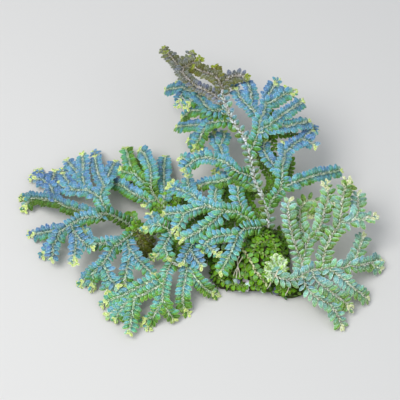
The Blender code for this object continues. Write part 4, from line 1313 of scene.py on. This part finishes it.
def buildFlakes(surface, look):
    skins = sorted({flake[4] for flake in flakes})
    made = bmesh.new()
    for u, v, length, heading, skin in flakes:
        ray, hit, normal = seen((u, v), surface)
        if hit is None:
            continue
        firstVertex, firstFace = len(made.verts), len(made.faces)
        made.from_mesh(sideLeaf.data)
        made.verts.ensure_lookup_table()
        made.faces.ensure_lookup_table()
        upright = (normal + Vector((0, 0, look["upright"]))).normalized()
        turn = upright.to_track_quat("Z", "X") @ Quaternion((0, 0, 1), math.radians(heading))
        for vertex in made.verts[firstVertex:]:
            x, y, z = vertex.co
            shaped = Vector((x, y * look["width"], z)) * length * mm
            vertex.co = hit + turn @ shaped - ray * look["lift"] * mm
        for face in made.faces[firstFace:]:
            face.material_index = skins.index(skin)
    mesh = bpy.data.meshes.new("flakes")
    made.to_mesh(mesh)
    made.free()
    for skin in skins:
        mesh.materials.append(materials[skin])
    settle(mesh)
    addPiece(newObject("flakes", mesh))


# Roots and dry twigs: u, v in pixels and height in mm along each strand

strands = {
    "rhizophore_front": {"radius": 0.3, "lines": (
        ((239, 256, 17.5), (237.3, 262, 16.6), (237.6, 266, 15.8), (235.2, 271, 14.4),
         (233.6, 276, 12.6)),
        ((237.6, 266, 15.8), (237, 272, 14.2), (236.6, 278, 12.4)),
        ((237.6, 266, 15.8), (239.2, 271, 14.6), (239.8, 277.5, 12.8)),
        ((243, 256.5, 18.2), (240, 261, 17), (237.6, 266, 15.8)),
    )},
    "twig_left": {"radius": 0.42, "lines": (
        ((278, 270, 16.6), (275.5, 275.5, 15.4), (272, 281, 13.4), (267, 289, 9.2)),
        ((275.5, 275.5, 15.4), (277.5, 278, 15), (278.5, 282, 14.2)),
    )},
    "twig_right": {"radius": 0.42, "lines": (
        ((297, 271, 15.6), (293.6, 278, 13.6), (290.6, 284, 11.2), (285, 296, 5)),
        ((293.6, 278, 13.6), (295.6, 276, 15), (297.4, 273.5, 15.6)),
    )},
}
strandLooks = {"step": 0.6, "wobble": 1.0,    # mm
               "wobbleScale": 420.0, "knotScale": 900.0, "knots": (0.75, 1.25), "tip": 0.6,
               "sides": 8}


def strandTree(look):
    nodes, given = newTree("strand", {"Float": ("radius",), "Material": ("bark",)})
    curve = nodes.add("GeometryNodeMeshToCurve", {0: given["source"]})[0]
    curve = nodes.evenCurve(curve, look["step"] * mm)
    sway = nodes.add("ShaderNodeTexNoise", {"Scale": look["wobbleScale"], "Detail": 2.0})["Color"]
    sway = nodes.vector("SUBTRACT", sway, (0.5, 0.5, 0.5))[0]
    sway = nodes.scaled(sway, look["wobble"] * mm)
    curve = nodes.add("GeometryNodeSetPosition", {0: curve, "Offset": sway})[0]
    along = nodes.add("GeometryNodeSplineParameter")["Factor"]
    knots = nodes.add("ShaderNodeTexNoise", {"Scale": look["knotScale"], "Detail": 1.0})[0]
    thick = nodes.times(nodes.span(along, 0.0, 1.0, 1.0, look["tip"], "LINEAR"),
                        nodes.span(knots, 0.3, 0.7, *look["knots"], "LINEAR"))
    strand = nodes.tube(curve, given["radius"], look["sides"], thick)
    nodes.add("NodeGroupOutput", {0: nodes.solid(strand, given["bark"])})
    return nodes.tree


print("roots, twigs and loose scales")
buildFlakes(surface, flakeLooks)
strandNodes = strandTree(strandLooks)
for name, look in strands.items():
    axes = [[(place(*p), Vector((0, 0, 1)), 0, 1) for p in smoothLine(line)]
            for line in look["lines"]]
    source = pathObject(name + "_axes", axes, {})
    settings = {"radius": look["radius"] * mm, "bark": drySkin}
    addPiece(grow(source, "bare_" + name, strandNodes, settings), name)


# The stage

stage = {
    "floorSize": 3.0, "floor": (226, 226, 224), "floorRoughness": 0.9,
    "sky": (235, 240, 250), "skyStrength": 0.46,
    "lights": {
        "key": {"at": (-0.35, -0.15, 0.75), "aim": (0, -0.01, 0.01), "size": 0.5, "power": 4.6,
                "colour": (1.0, 0.98, 0.95)},
        "fill": {"at": (0.6, -0.5, 0.5), "aim": (0, 0, 0), "size": 0.8, "power": 1.5,
                 "colour": (1, 1, 1)},
    },
}

print("stage")
floorMaterial, floorNodes = newMaterial("paleFloor")
floorShader = floorNodes.tree.nodes["Principled BSDF"].inputs
floorShader["Base Color"].default_value = srgb(*stage["floor"])
floorShader["Roughness"].default_value = stage["floorRoughness"]
floorMesh = bpy.data.meshes.new("floor")
half = stage["floorSize"] / 2
floorMesh.from_pydata([(-half, -half, 0), (half, -half, 0), (half, half, 0), (-half, half, 0)],
                      [], [(0, 1, 2, 3)])
floorMesh.materials.append(floorMaterial)
newObject("floor", floorMesh)

for name, look in stage["lights"].items():
    data = bpy.data.lights.new(name, "AREA")
    data.size = look["size"]
    data.energy = look["power"]
    data.color = look["colour"]
    light = newObject(name, data)
    light.location = look["at"]
    way = Vector(look["aim"]) - Vector(look["at"])
    light.rotation_euler = way.to_track_quat("-Z", "Y").to_euler()
world = bpy.data.worlds.new("softSky")
world.use_nodes = True
background = world.node_tree.nodes["Background"].inputs
background[0].default_value = srgb(*stage["sky"])
background[1].default_value = stage["skyStrength"]
bpy.context.scene.world = world
bpy.context.scene.view_settings.view_transform = "Standard"

cameraData = bpy.data.cameras.new("camera")
cameraData.sensor_width = view["sensor"]
cameraData.lens = view["sensor"] * view["distance"] / (view["frameWidth"] * view["pixelSize"])
camera = newObject("camera", cameraData)
camera.location = eye * mm
camera.rotation_euler = (math.radians(90) - view["elevation"], 0, 0)
bpy.context.scene.camera = camera
